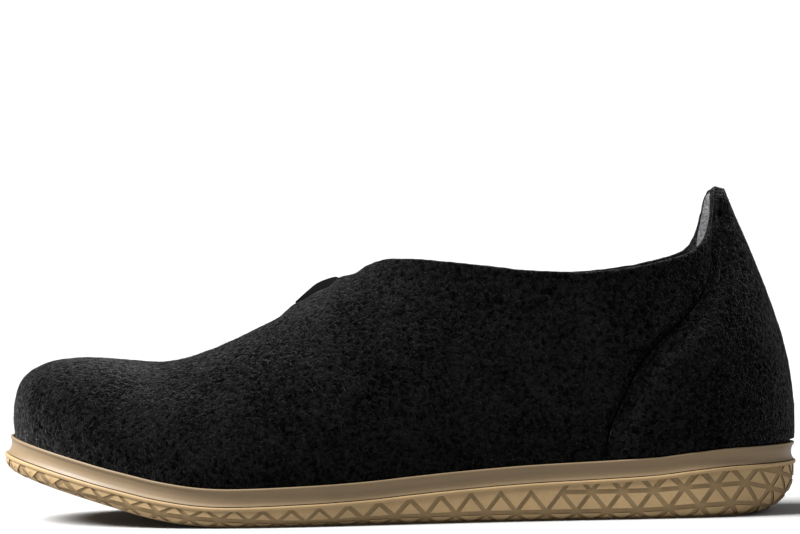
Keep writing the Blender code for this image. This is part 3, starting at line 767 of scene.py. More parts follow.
# Side pattern of the outsole: where its first row ends up the wall and how far
# its triangles are shifted, by column
PATTERN_PLACES = (
    # column, end of first row as a share of LATTICE_ROW, shift in columns
    (0, 0.95, 0.00),
    (4, 1.12, 0.10),
    (7, 1.22, 0.20),
    (9, 1.05, 0.27),
    (10.5, 0.93, 0.33),
    (12, 0.81, 0.36),
    (15, 0.72, 0.38),
    (20, 0.74, 0.25),
    (24, 0.76, 0.12),
    (28, 0.74, 0.00),
    (31, 0.69, 0.00),
    (33, 0.59, 0.00),
    (36, 0.48, -0.30),
    (39, 0.55, -0.60),
    (42, 0.68, -0.82),
    (46, 0.66, -0.72),
    (50, 0.56, -0.60),
    (53, 0.44, -0.50),
    (57, 0.36, -0.25),
    (62, 0.36, 0.00),
)
MAIN_ROW = 1.08
LEAST_ROW = 1.7 * MM
LEAST_PITCH = 2.2 * MM
UPPER_LEAST = 1.3 * LEAST_ROW
LIP_REACH = 2.2 * MM
WALL_STEP = 0.5 * MM
PAD_GAP = 0.88 * MM
PAD_SLOPE = 0.36 * MM
PAD_STEP = 1.6 * MM
PAD_SPARE = 0.6 * MM
JOINED = -0.25 * MM
WALL_ROWS = 26

# Tread: lattice points across the plate, and how far its pads keep off the edge as
# a share of the pitch
TREAD_POINTS = (61, 15)
TREAD_CLEAR = 0.44

# Hairs: bend and foot as shares of their length, and least and most lean in degrees
HAIR_CURL = 0.45
HAIR_ROOT = 0.45
HAIR_LEAN = (12, 55)

# Patterns of the materials. Wool fibres are 0.03 mm across; they are drawn
# coarser so that they show.
DRAWN_FIBRE = 0.55 * MM
WORN_PATCH = 18.0 * MM
DUST_PATCH = 14.0 * MM
DUST_SPECK = 1.3 * MM
MOULD_GRAIN = 0.35 * MM
FOAM_GRAIN = 0.5 * MM
THREAD = 0.5 * MM

# Camera: level, seen from the outer side, a little rolled as in the photograph
CAMERA_PLACE = (0.0012, -1.1, 0.0831)
CAMERA_LENS = 148.0
CAMERA_ROLL = math.radians(0.84)

# sRGB colours
BLACK_WOOL = "090909"
GREY_FELT = "6c6c6f"
GUM = "947c59"
# Darker gum of the grooves: partly its own greyer tone, partly painted shade of the recesses
GUM_GROOVE_TONE_AND_SHADE = "786447"
FOAM = "705f48"
ELASTIC = "070708"
FLOOR_PALE = "9e9e9e"


def linear(code):
    """Linear colour of an sRGB hex value."""
    parts = []
    for start in (0, 2, 4):
        part = int(code[start:start + 2], 16) / 255
        parts.append(part / 12.92 if part <= 0.04045 else ((part + 0.055) / 1.055) ** 2.4)
    return (parts[0], parts[1], parts[2], 1.0)


def length_setting(name, text, default, low, high):
    """A length that can be set in the panel, given in millimetres."""
    return bpy.props.FloatProperty(
        name=name, description=text, default=default * MM, min=low * MM, max=high * MM,
        unit="LENGTH")


def colour_setting(name, text, code):
    """A colour that can be set in the panel, given as an sRGB hex value."""
    return bpy.props.FloatVectorProperty(
        name=name, description=text, subtype="COLOR", size=4, min=0.0, max=1.0,
        default=linear(code))


class SlipperSizes(bpy.types.PropertyGroup):
    felt: length_setting("Felt", "Thickness of the wool felt without its lining", 2.3, 1.0, 2.5)
    lining: length_setting("Lining", "Thickness of the grey lining", 0.55, 0.3, 0.6)
    edge_round: length_setting(
        "Edge rounding", "Radius of the cut edge of the felt", 0.95, 0.2, 1.1)
    panel_round: length_setting(
        "Panel rounding", "Width over which the heel panel dips to its seam", 9.0, 0.5, 12.0)
    seam_depth: length_setting(
        "Seam depth", "Depth of the groove in front of the heel panel", 1.1, 0.0, 1.5)
    lump: length_setting("Lump", "Size of the lumps of the boiled wool", 1.5, 0.5, 8.0)
    lump_height: length_setting(
        "Lump height", "Height of the lumps of the boiled wool", 0.24, 0.0, 0.6)
    nap_length: length_setting("Nap length", "Length of the loose wool hairs", 1.1, 0.2, 3.0)
    nap_width: length_setting(
        "Nap width", "Width of a loose wool hair, drawn coarse so that it shows", 0.05, 0.01, 0.2)
    nap_density: bpy.props.FloatProperty(
        name="Nap density", description="Loose hairs on a square metre of felt",
        default=8.0e5, min=0.0, max=2.0e6)
    tread_pitch: length_setting(
        "Tread pitch", "Side of a triangle of the tread with its grooves", 10.2, 6.0, 20.0)
    tread_groove: length_setting("Tread groove", "Width of a groove of the tread", 1.9, 0.5, 4.0)
    tread_depth: length_setting("Tread depth", "Depth of a groove of the tread", 0.9, 0.2, 1.5)
    tread_border: length_setting(
        "Tread border", "Width of the plain edge round the tread", 4.5, 1.0, 15.0)


class SlipperColours(bpy.types.PropertyGroup):
    wool: colour_setting("Wool", "Colour of the boiled wool", BLACK_WOOL)
    lining: colour_setting("Lining", "Colour of the lining and the insole", GREY_FELT)
    gum: colour_setting("Gum rubber", "Colour of the outsole", GUM)
    # The groove colour is partly darker gum and partly painted shade of the recesses
    groove: colour_setting("Groove", "Colour down in the grooves of the outsole", GUM_GROOVE_TONE_AND_SHADE)
    foam: colour_setting("Foam rubber", "Colour of the band above the outsole", FOAM)
    elastic: colour_setting("Elastic", "Colour of the throat insert", ELASTIC)


def add_node(tree, kind, settings=None, links=None):
    """Add a node, set its attributes, and set or link its inputs."""
    made = tree.nodes.new(kind)
    for key, value in (settings or {}).items():
        setattr(made, key, value)
    for key, value in (links or {}).items():
        if isinstance(value, bpy.types.NodeSocket):
            tree.links.new(value, made.inputs[key])
        else:
            made.inputs[key].default_value = value
    return made


def maths(tree, operation, *values):
    """Add a maths node to shader or geometry nodes and return its result."""
    return add_node(
        tree, "ShaderNodeMath", {"operation": operation}, dict(enumerate(values))).outputs[0]


def new_material(name):
    made = bpy.data.materials.new(name)
    made.use_nodes = True
    shader = made.node_tree.nodes["Principled BSDF"]
    return made, made.node_tree, shader


def add_noise(tree, place, size, detail, roughness, distortion=0.0):
    """Cloudy pattern whose clouds have about the given size."""
    return add_node(
        tree, "ShaderNodeTexNoise", None,
        {"Vector": place, "Scale": 1.0 / size, "Detail": detail, "Roughness": roughness,
         "Distortion": distortion}).outputs["Fac"]


def stretch_range(tree, value, low, high, to_low, to_high):
    return add_node(
        tree, "ShaderNodeMapRange", None,
        {"Value": value, "From Min": low, "From Max": high, "To Min": to_low,
         "To Max": to_high}).outputs[0]


def paint_mottled(tree, shader, share, colour, dark, light):
    """Base colour between a darker and a lighter multiple of a colour."""
    mixed = add_node(
        tree, "ShaderNodeMix", {"data_type": "RGBA"},
        {0: share, 6: [part * dark for part in colour[:3]] + [1.0],
         7: [min(1.0, part * light) for part in colour[:3]] + [1.0]})
    tree.links.new(mixed.outputs[2], shader.inputs["Base Color"])


def add_bump(tree, shader, layers):
    """Stack bump layers of strength, height in metres and pattern."""
    normal = None
    for strength, height, pattern in layers:
        inputs = {"Strength": strength, "Distance": height, "Height": pattern}
        if normal:
            inputs["Normal"] = normal
        normal = add_node(tree, "ShaderNodeBump", None, inputs).outputs["Normal"]
    tree.links.new(normal, shader.inputs["Normal"])


def felt_material(name, colour, dark, light, lump, sheen):
    """Felted wool: dull, mottled by matted fibres, with a pale bloom at its edges."""
    made, tree, shader = new_material(name)
    place = add_node(tree, "ShaderNodeTexCoord").outputs["Object"]
    clumps = add_noise(tree, place, lump, 3.0, 0.72, 0.6)
    fibres = add_noise(tree, place, DRAWN_FIBRE, 2.0, 0.6, 1.2)
    worn = add_noise(tree, place, WORN_PATCH, 2.0, 0.5)
    both = maths(tree, "MULTIPLY_ADD", fibres, 0.5, clumps)
    patches = maths(tree, "MULTIPLY_ADD", worn, 0.22, both)
    lighter = stretch_range(tree, patches, 0.72, 1.02, 0.0, 1.0)
    # Painted shade: along the groove in front of the heel panel the wool is darkened and loses its
    # pale bloom, standing in for the shade that falls in the groove
    seam = add_node(tree, "ShaderNodeAttribute", {"attribute_name": "seam"}).outputs["Fac"]
    # One less the painted shade of the seam
    loose = maths(tree, "MULTIPLY_ADD", seam, -1.0, 1.0)
    mottle_and_seam_shade = maths(tree, "MULTIPLY", lighter, loose)
    paint_mottled(tree, shader, mottle_and_seam_shade, colour, dark, light)
    bloom = stretch_range(tree, mottle_and_seam_shade, 0.0, 1.0, 0.25 * sheen, 1.75 * sheen)
    tree.links.new(bloom, shader.inputs["Sheen Weight"])
    shader.inputs["Roughness"].default_value = 0.95
    shader.inputs["Specular IOR Level"].default_value = 0.0
    shader.inputs["Sheen Roughness"].default_value = 0.32
    shader.inputs["Sheen Tint"].default_value = (0.85, 0.85, 0.86, 1.0)
    add_bump(tree, shader, ((1.0, 0.8 * MM, clumps), (1.0, 0.25 * MM, fibres)))
    return made


def rubber_material(name, colour, roughness, grain, mottle):
    """Moulded rubber: satin, even colour, a fine mould grain and a little dust."""
    made, tree, shader = new_material(name)
    place = add_node(tree, "ShaderNodeTexCoord").outputs["Object"]
    cloud = add_noise(tree, place, DUST_PATCH, 4.0, 0.6)
    speck = add_noise(tree, place, DUST_SPECK, 3.0, 0.7)
    both = maths(tree, "MULTIPLY_ADD", speck, 0.45, cloud)
    share = stretch_range(tree, both, 0.5, 0.95, 0.0, 1.0)
    paint_mottled(tree, shader, share, colour, 1.0 - mottle, 1.0 + mottle)
    rough = stretch_range(tree, cloud, 0.3, 0.7, roughness - 0.06, roughness + 0.08)
    tree.links.new(rough, shader.inputs["Roughness"])
    shader.inputs["IOR"].default_value = 1.52
    shader.inputs["Specular IOR Level"].default_value = 0.25
    add_bump(tree, shader, ((0.35, 0.12 * MM, add_noise(tree, place, grain, 3.0, 0.6)),))
    return made


def elastic_material(name, colour):
    """Woven elastic: rubber cores wrapped in thread, dull black with a faint gleam."""
    made, tree, shader = new_material(name)
    place = add_node(tree, "ShaderNodeTexCoord").outputs["Object"]
    thread = add_node(
        tree, "ShaderNodeTexWave", {"wave_type": "BANDS", "bands_direction": "X"},
        {"Vector": place, "Scale": 1.0 / (2.0 * THREAD), "Distortion": 1.0,
         "Detail": 2.0}).outputs["Fac"]
    paint_mottled(tree, shader, thread, colour, 0.6, 1.8)
    shader.inputs["Roughness"].default_value = 0.9
    shader.inputs["Specular IOR Level"].default_value = 0.02
    add_bump(tree, shader, ((0.5, 0.1 * MM, thread),))
    return made


def shade(mesh, angle):
    """Smooth faces with sharp edges where they meet at more than the angle."""
    bm = bmesh.new()
    bm.from_mesh(mesh)
    bm.normal_update()
    for face in bm.faces:
        face.smooth = True
    for edge in bm.edges:
        edge.smooth = not (len(edge.link_faces) == 2 and edge.calc_face_angle(0.0) > angle)
    bm.to_mesh(mesh)
    bm.free()


def new_object(name, bm, materials):
    mesh = bpy.data.meshes.new(name)
    bm.to_mesh(mesh)
    bm.free()
    made = bpy.data.objects.new(name, mesh)
    bpy.context.scene.collection.objects.link(made)
    for item in materials:
        mesh.materials.append(item)
    return made


def make_plain(made, angle):
    """Turn the result of an object's modifiers into its own plain mesh."""
    name = made.name
    bpy.context.view_layer.update()
    result = bpy.data.meshes.new_from_object(
        made.evaluated_get(bpy.context.evaluated_depsgraph_get()))
    made.modifiers.clear()
    made.data = result
    result.name = name
    shade(result, angle)
    return made


def take_place(made, node):
    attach(made, "root")
    if node:
        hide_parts(node)


def fine_place(column):
    column = column % FINE_COLUMNS
    if column <= FINE_HALF:
        return -1, column / FINE_HALF
    return 1, (FINE_COLUMNS - column) / FINE_HALF


def fine_sole_point(column, inset, lift):
    """Smooth point above or below the top of the outsole edge."""
    sign, share = fine_place(column)
    flat, _ = edge_point(sign, share, inset)
    rim, _ = edge_point(sign, share, 0.0)
    return bend(flat.x, flat.y, sole_height(rim.x) + lift)


def section_grid(rises):
    """Outer face of the upper: columns round the foot by rows up each section."""
    columns = []
    for column in range(FINE_COLUMNS):
        sign, share = fine_place(column)
        spots = [np.array(spot) for spot in section_spots(sign, share)]
        rows = []
        for t in rises:
            place = spots[0] * (1 - t) ** 3 + spots[1] * 3 * t * (1 - t) ** 2
            rows.append(place + spots[2] * 3 * t * t * (1 - t) + spots[3] * t ** 3)
        columns.append(rows)
    return np.array(columns)


def unit(values):
    lengths = np.linalg.norm(values, axis=-1, keepdims=True)
    return values / np.maximum(lengths, 1e-12)


def grid_normals(points):
    """Outward normals of a section grid, shared where its sides meet on the ridge."""
    round_foot = np.roll(points, -1, axis=0) - np.roll(points, 1, axis=0)
    upward = np.gradient(points, axis=1)
    normals = unit(np.cross(upward, round_foot))
    mirror = (-np.arange(FINE_COLUMNS)) % FINE_COLUMNS
    for column in range(FINE_THROAT, FINE_COLUMNS - FINE_THROAT + 1):
        pair = normals[column, -2] + normals[mirror[column], -2]
        normals[column, -1] = pair / np.linalg.norm(pair)
    tops = points[:, -1]
    tip = [c for c in range(FINE_COLUMNS) if np.linalg.norm(tops[c] - tops[FINE_HALF]) < SAME]
    shared = unit(sum(normals[column, -2] for column in tip))
    for column in tip:
        normals[column, -1] = shared
    return normals


def rim_directions(points, normals):
    """Direction out of the felt, along its face, at the top of each open column."""
    last = points[:, -1]
    ahead = np.roll(last, -1, axis=0)
    behind = np.roll(last, 1, axis=0)
    ahead[FINE_THROAT] = last[FINE_COLUMNS - FINE_THROAT + 1]
    behind[FINE_COLUMNS - FINE_THROAT] = last[FINE_THROAT - 1]
    return unit(np.cross(ahead - behind, normals[:, -1]))


def panel_front(sign):
    """Points down the front edge of the heel panel on one side."""
    rises = [step / FRONT_STEPS for step in range(FRONT_STEPS + 1)]
    return np.array([upper_point(sign, counter_limit(sign, rise), rise) for rise in rises])


def line_distance(points, line):
    """Distance of each point to a line of points."""
    best = np.full(points.shape[:-1], 1.0)
    for a, b in zip(line, line[1:]):
        span = b - a
        t = np.clip(((points - a) @ span) / max(span @ span, 1e-12), 0.0, 1.0)
        gap = np.linalg.norm(points - (a + t[..., None] * span), axis=-1)
        best = np.minimum(best, gap)
    return best


def seam_dent_and_shade(points):
    """How hard the seam of the heel panel presses each point, from 0 to 1; the same weight also
    paints shade along the seam.
    """
    dent_and_shade = np.zeros(points.shape[:2])
    for sign in (-1, 1):
        gap = line_distance(points, panel_front(sign))
        fade = np.clip((TAB_HEIGHT - points[..., 2]) / SEAM_FADE, SEAM_LEAST, 1.0)
        dent_and_shade += fade * np.exp(-((gap / (SEAM_REACH * FELT)) ** 2))
    return np.clip(dent_and_shade, 0.0, 1.0)


def dent_depths(points, rises, seam_depth):
    """How far each point of the felt is pushed in."""
    depths = np.zeros(points.shape[:2])
    for sign, along_a, up_a, along_b, up_b, width, depth in DENTS:
        line = []
        for step in range(DENT_STEPS + 1):
            t = step / DENT_STEPS
            along = along_a + t * (along_b - along_a)
            line.append(np.array(upper_point(sign, along, up_a + t * (up_b - up_a))))
        gap = line_distance(points, line)
        depths += depth * FELT * np.exp(-((gap / (width * SOLE_LENGTH)) ** 2))
    depths += seam_depth * seam_dent_and_shade(points)
    rise = np.array(rises)
    ease = np.clip(rise / DENT_FOOT, 0.0, 1.0) * np.clip((1.0 - rise) / DENT_TOP, 0.0, 1.0)
    return depths * ease[None, :]


def rolled_shell(name, rows, edge, top_drop, outer_gap, thickness, radius, seam_depth, surface):
    """A layer of the upper between two offsets, with a rounded edge at the collar.

    The topmost row takes the share edge of the section for itself, and top_drop
    says how far it stays below the collar at heel, tab and along the side.
    """
    rises = [row / (rows - 1) * (1.0 - edge) for row in range(rows)] + [1.0]
    points = section_grid(rises)
    normals = grid_normals(points)
    away = rim_directions(points, normals)
    inside_depth = dent_depths(points, rises, 0.0) + outer_gap + thickness
    outside_depth = dent_depths(points, rises, seam_depth) + outer_gap
    inner = points - normals * inside_depth[..., None]
    outer = points - normals * outside_depth[..., None]
    all_columns = range(FINE_COLUMNS)
    drops = np.array([smooth_value(DROP_PLACES, top_drop, fine_place(c)[1]) for c in all_columns])
    top = outer[:, -1] - away * drops[:, None]
    lip = normals[:, -1]
    arcs = []
    for step in range(ARC_STEPS + 1):
        angle = math.pi / 2 * step / ARC_STEPS
        back = radius * (1 - math.cos(angle))
        arcs.append((top - away * radius * (1 - math.sin(angle)), back))
    arcs += [(edge_line, thickness - back) for edge_line, back in arcs[::-1]]
    arcs = [edge_line - lip * back for edge_line, back in arcs]
    free = [c for c in all_columns if c <= FINE_THROAT or c >= FINE_COLUMNS - FINE_THROAT]
    for column in free:
        outer[column, -1] = arcs[0][column]
        inner[column, -1] = arcs[-1][column]
    bm = bmesh.new()
    hairy = bm.verts.layers.float.new("nap")
    # Weight of the painted shade along the seam of the heel panel, read by the wool material
    seam = bm.verts.layers.float.new("seam")
    dent_and_shade = seam_dent_and_shade(points) if seam_depth else np.zeros(points.shape[:2])
    outside = [[bm.verts.new(spot) for spot in row] for row in outer]
    inside = [[bm.verts.new(spot) for spot in row] for row in inner]
    rim = {}
    for c in free:
        rim[c] = [outside[c][-1]] + [bm.verts.new(arc[c]) for arc in arcs[1:-1]] + [inside[c][-1]]
    for c in all_columns:
        d = (c + 1) % FINE_COLUMNS
        for r in range(len(rises) - 1):
            bm.faces.new((outside[c][r], outside[d][r], outside[d][r + 1], outside[c][r + 1]))
            bm.faces.new((inside[d][r], inside[c][r], inside[c][r + 1], inside[d][r + 1]))
        bm.faces.new((inside[c][0], inside[d][0], outside[d][0], outside[c][0]))
        if c in rim and d in rim:
            for corners in zip(rim[c], rim[d], rim[d][1:], rim[c][1:]):
                bm.faces.new(corners)
    # Fewer hairs along the seam, and painted shade there through the layer made above
    for column in all_columns:
        for row in range(2, len(rises)):
            outside[column][row][hairy] = 1.0 - dent_and_shade[column, row]
            outside[column][row][seam] = dent_and_shade[column, row]
    ridge = range(FINE_THROAT, FINE_COLUMNS - FINE_THROAT + 1)
    doubles = [outside[c][-1] for c in ridge] + [inside[c][-1] for c in ridge]
    doubles += rim[FINE_THROAT] + rim[FINE_COLUMNS - FINE_THROAT]
    bmesh.ops.remove_doubles(bm, verts=list(set(doubles)), dist=SAME)
    bmesh.ops.dissolve_degenerate(bm, edges=bm.edges, dist=1e-7)
    bmesh.ops.recalc_face_normals(bm, faces=bm.faces)
    return new_object(name, bm, [surface])


def roughen(mesh, size, height):
    """Push the felt in and out by its lumps."""
    bm = bmesh.new()
    bm.from_mesh(mesh)
    bm.normal_update()
    moves = []
    for vertex in bm.verts:
        place = vertex.co / (1.9 * size)
        lift = sum(noise.noise(place * finer) * share for finer, share in LUMP_NOISE)
        moves.append(vertex.normal * lift * height)
    for vertex, move in zip(bm.verts, moves):
        vertex.co += move
    bm.to_mesh(mesh)
    bm.free()


def side_column(column):
    """The column on the outer side that faces this one."""
    column = column % COLUMNS
    return min(column, COLUMNS - column)


class Wall:
    """The side of the outsole as a surface over columns and wall length."""

    def __init__(self):
        self.profiles = [WallProfile(column) for column in range(COLUMNS)]
        self.start = LATTICE_START - TREAD_EDGE
        most = max(profile.total for profile in self.profiles)
        self.count = int(math.ceil((most - self.start) / WALL_STEP)) + 4
        grid = []
        for fine in range(FINE_COLUMNS):
            row = []
            for index in range(self.count):
                inset, height = self.section(fine / FINE, self.start + index * WALL_STEP)
                row.append(sole_point(fine / FINE, inset, height))
            grid.append(row)
        self.grid = np.array([[tuple(spot) for spot in row] for row in grid])
        ahead = np.roll(self.grid, -1, axis=0) - np.roll(self.grid, 1, axis=0)
        self.away = unit(np.cross(ahead, np.gradient(self.grid, axis=1)))

    def between(self, column):
        column = column % COLUMNS
        low = int(math.floor(column))
        return low % COLUMNS, (low + 1) % COLUMNS, column - low

    def limit(self, column):
        a, b, part = self.between(column)
        return self.profiles[a].total * (1 - part) + self.profiles[b].total * part

    def section(self, column, length):
        a, b, part = self.between(column)
        over = max(0.0, length - self.limit(column))
        first = self.profiles[a].at(min(length, self.profiles[a].total))
        second = self.profiles[b].at(min(length, self.profiles[b].total))
        inset = first[0] * (1 - part) + second[0] * part
        return inset, first[1] * (1 - part) + second[1] * part + over

    def look_up(self, table, column, length):
        across = (column % COLUMNS) * FINE
        up = min(max((length - self.start) / WALL_STEP, 0.0), self.count - 1.001)
        i = int(across)
        j = int(up)
        s = across - i
        t = up - j
        k = (i + 1) % FINE_COLUMNS
        i = i % FINE_COLUMNS
        low = table[i, j] * (1 - s) + table[k, j] * s
        high = table[i, j + 1] * (1 - s) + table[k, j + 1] * s
        return low * (1 - t) + high * t

    def place(self, column, length, lift):
        """Point on the wall, lifted off it along its normal."""
        away = self.look_up(self.away, column, length)
        return self.look_up(self.grid, column, length) + away * lift

    def pitch(self, column, length):
        """Length of one column at a place on the wall."""
        ahead = self.place(column + 0.5, length, 0.0)
        return np.linalg.norm(ahead - self.place(column - 0.5, length, 0.0))


def offset_corners(corners, offsets):
    """Move each side of a convex outline inward by its own distance."""
    count = len(corners)
    lines = []
    for i in range(count):
        a = corners[i]
        b = corners[(i + 1) % count]
        size = math.hypot(b[0] - a[0], b[1] - a[1])
        if size < 1e-7:
            return None
        normal = (-(b[1] - a[1]) / size, (b[0] - a[0]) / size)
        lines.append((normal, normal[0] * a[0] + normal[1] * a[1] + offsets[i]))
    moved = []
    for i in range(count):
        (n, c), (m, d) = lines[i - 1], lines[i]
        det = n[0] * m[1] - n[1] * m[0]
        if abs(det) < 1e-4:
            return None
        moved.append(((c * m[1] - d * n[1]) / det, (n[0] * d - m[0] * c) / det))
    for i in range(count):
        a, b = corners[i], corners[(i + 1) % count]
        e, f = moved[i], moved[(i + 1) % count]
        along = (b[0] - a[0]) * (f[0] - e[0]) + (b[1] - a[1]) * (f[1] - e[1])
        if along <= 0.25 * MM * math.hypot(b[0] - a[0], b[1] - a[1]):
            return None
    return moved


def cut_at_lip(corners, limit_a, limit_b, half):
    """Cut an outline at the lip; says which of its sides run into the lip."""

    def over(point):
        return point[1] - (limit_a + (limit_b - limit_a) * (point[0] + half) / (2 * half))

    kept = []
    count = len(corners)
    for i in range(count):
        here = corners[i]
        there = corners[(i + 1) % count]
        a = over(here)
        b = over(there)
        if a <= 1e-9:
            kept.append(here)
        if (a < -1e-9 and b > 1e-9) or (a > 1e-9 and b < -1e-9):
            t = a / (a - b)
            kept.append(between_points(here, there, t))
    joins = []
    for i in range(len(kept)):
        joins.append(abs(over(kept[i])) < 1e-6 and abs(over(kept[(i + 1) % len(kept)])) < 1e-6)
    return kept, joins


def add_pad(bm, wall, centre, corners, joins):
    """One raised triangle of the side, closed, with its foot sunk in the wall."""
    pitch = wall.pitch(centre, corners[0][1])

    def outline(inset):
        return offset_corners(corners, [JOINED if join else inset for join in joins])

    levels = (
        (PAD_GAP - 0.40 * PAD_SLOPE, -0.45 * RELIEF),
        (PAD_GAP + 0.74 * PAD_SLOPE, 0.80 * RELIEF),
        (PAD_GAP + 1.00 * PAD_SLOPE, 0.96 * RELIEF),
        (PAD_GAP + 1.30 * PAD_SLOPE, RELIEF),
    )
    shapes = [outline(inset) for inset, _ in levels]
    if any(shape is None for shape in shapes):
        return False
    counts = []
    for i in range(len(corners)):
        a = shapes[0][i]
        b = shapes[0][(i + 1) % len(corners)]
        counts.append(max(1, math.ceil(math.hypot(b[0] - a[0], b[1] - a[1]) / PAD_STEP)))
    rings = []
    for shape, (_, lift) in zip(shapes, levels):
        ring = []
        for i, count in enumerate(counts):
            a = shape[i]
            b = shape[(i + 1) % len(shape)]
            ring += [between_points(a, b, step / count) for step in range(count)]
        rings.append((ring, lift))
    middle = [sum(values) / len(shapes[-1]) for values in zip(*shapes[-1])]
    rings.append(([between_points(middle, point, 0.5) for point in rings[-1][0]], RELIEF))

    def vertex(point, lift):
        return bm.verts.new(wall.place(centre + point[0] / pitch, point[1], lift))

    made = [[vertex(point, lift) for point in ring] for ring, lift in rings]
    # The sunk foot and lower slope of each triangle take the darker groove material, partly painted
    # shade
    band_faces(bm, made[0], made[1])
    for face in bm.faces[-len(made[0]):]:
        face.material_index = 1
    for lower, upper in zip(made[1:], made[2:]):
        band_faces(bm, lower, upper)
    for ring, lift in ((made[0], rings[0][1]), (made[-1], RELIEF)):
        hub = vertex(middle, lift)
        for a, b in zip(ring, ring[1:] + ring[:1]):
            bm.faces.new((a, b, hub))
    return True


def side_pads(bm, wall):
    """All raised triangles round the side of the outsole."""
    def line(row, column):
        if row == 0:
            return LATTICE_START
        end = read_table(PATTERN_PLACES, side_column(column)) * LATTICE_ROW
        return end if row == 1 else end + (row - 2 + MAIN_ROW) * LATTICE_ROW

    made = 0
    for row in range(LATTICE_ROWS):
        for index in range(COLUMNS):
            shift = read_table(PATTERN_PLACES, side_column(index), 2)
            centre = index + shift if index <= COLUMNS // 2 else index - shift
            limit = wall.limit(centre)
            low = line(row, centre)
            if limit - low < (LEAST_ROW if row < 2 else UPPER_LEAST):
                continue
            upright = (index + row) % 2 == 0
            pitch = wall.pitch(centre, low)
            if pitch < LEAST_PITCH:
                continue
            bounds = []
            for place in (centre - 1, centre, centre + 1):
                top = line(row + 1, place)
                if row == 1:
                    top = min(top, wall.limit(place))
                bounds.append((line(row, place), top))
            if upright:
                corners = [(-pitch, bounds[0][0]), (pitch, bounds[2][0]), (0.0, bounds[1][1])]
            else:
                corners = [(0.0, bounds[1][0]), (pitch, bounds[2][1]), (-pitch, bounds[0][1])]
                spare = limit - bounds[1][1]
                if 0.0 <= spare < LIP_REACH:
                    tall = bounds[1][1] - bounds[1][0]
                    grow = (tall + spare + PAD_SPARE) / tall
                    corners = [corners[0]] + [
                        (x * grow, corners[0][1] + (y - corners[0][1]) * grow)
                        for x, y in corners[1:]]
            whole = offset_corners(corners, [PAD_GAP] * 3)
            if upright and whole and max(y for x, y in whole) < limit + 0.1 * MM:
                joins = [False] * 3
            else:
                corners, joins = cut_at_lip(
                    corners, wall.limit(centre - 1), wall.limit(centre + 1), pitch)
            if len(corners) < 3:
                continue
            if add_pad(bm, wall, centre, corners, joins):
                made += 1
                continue
            if upright:
                corners = [
                    (-pitch, bounds[0][0]), (pitch, bounds[2][0]),
                    (0.0, limit + 1.3 * PAD_GAP)]
            else:
                tops = [min(bounds[i][1], wall.limit(centre + i - 1)) for i in (2, 0)]
                corners = [(0.0, bounds[1][0]), (pitch, tops[0]), (-pitch, tops[1])]
            made += add_pad(bm, wall, centre, corners, [False] * 3)
    return made


class SLIPPER_OT_outsole(bpy.types.Operator):
    """Gum rubber outsole with its lip and the raised triangles of its side"""

    bl_idname = "slipper.outsole"
    bl_label = "Outsole"

    def execute(self, context):
        sizes = context.scene.slipper_sizes
        colours = context.scene.slipper_colours
        bm = bmesh.new()
        wall = Wall()

        def wall_ring(index):
            def place(fine):
                top = wall.limit(fine / FINE)
                length = wall.start + index / WALL_ROWS * (top - wall.start)
                return wall.place(fine / FINE, length, 0.0)
            return fine_ring(bm, place)

        def lip_ring(inset, lift):
            def place(fine):
                a, b, part = wall.between(fine / FINE)
                top = edge_height(a) * (1 - part) + edge_height(b) * part
                return sole_point(fine / FINE, inset, top + lift)
            return fine_ring(bm, place)

        def under_ring(inset_more, height):
            def place(fine):
                inset, _ = wall.section(fine / FINE, wall.start)
                return sole_point(fine / FINE, inset + inset_more, height)
            return fine_ring(bm, place)

        profile = (
            (LIP_PROUD, -LIP_HEIGHT + LIP_ROOT),
            (0.35 * LIP_PROUD, -LIP_HEIGHT + LIP_ROOT),
            (0.10 * LIP_PROUD, -0.72 * LIP_HEIGHT),
            (0.0, -0.42 * LIP_HEIGHT),
            (0.05 * LIP_PROUD, -0.15 * LIP_HEIGHT),
            (0.22 * LIP_PROUD, 0.0),
        )
        rings = [wall_ring(index) for index in range(WALL_ROWS + 1)]
        lip = [lip_ring(inset, lift) for inset, lift in profile]
        stack_rings(bm, rings)
        side = set(bm.faces)
        stack_rings(bm, rings[-1:] + lip)
        ladder(bm, lip[-1])
        border = RELIEF_SLOPE + sizes.tread_border
        under = [
            under_ring(RELIEF_SLOPE, 0.0), under_ring(border, 0.0),
            under_ring(border + 0.3 * MM, sizes.tread_depth)]
        stack_rings(bm, rings[:1] + under)
        floor = ladder(bm, under[-1])
        bmesh.ops.recalc_face_normals(bm, faces=bm.faces)
        # The wall between the triangles and the recessed floor of the tread take the darker groove
        # material, partly painted shade
        for face in bm.faces:
            face.material_index = 1 if face in side else 0
        for face in floor:
            face.material_index = 1
        before = set(bm.faces)
        if side_pads(bm, wall) < COLUMNS:
            raise RuntimeError("the side pattern of the outsole came out too thin")
        pads = [face for face in bm.faces if face not in before]
        bmesh.ops.recalc_face_normals(bm, faces=pads)
        gum = rubber_material("gum_rubber_moulded", colours.gum, 0.62, MOULD_GRAIN, 0.10)
        # Groove material: greyer gum, darkened further as painted shade of the recesses
        groove_tone_and_shade = rubber_material(
            "gum_rubber_groove_tone_and_shade", colours.groove, 0.8, MOULD_GRAIN, 0.12)
        made = new_object("gum_outsole", bm, [gum, groove_tone_and_shade])
        shade(made.data, math.radians(38))
        take_place(made, "outsole")
        return {"FINISHED"}


def new_tree(name, source, sizes):
    """Geometry node tree with a mesh and named sizes as its inputs."""
    tree = bpy.data.node_groups.new(name, "GeometryNodeTree")
    face = tree.interface
    face.new_socket(source, in_out="INPUT", socket_type="NodeSocketGeometry")
    for size in sizes:
        face.new_socket(size, in_out="INPUT", socket_type="NodeSocketFloat")
    face.new_socket("Result", in_out="OUTPUT", socket_type="NodeSocketGeometry")
    return tree, add_node(tree, "NodeGroupInput").outputs


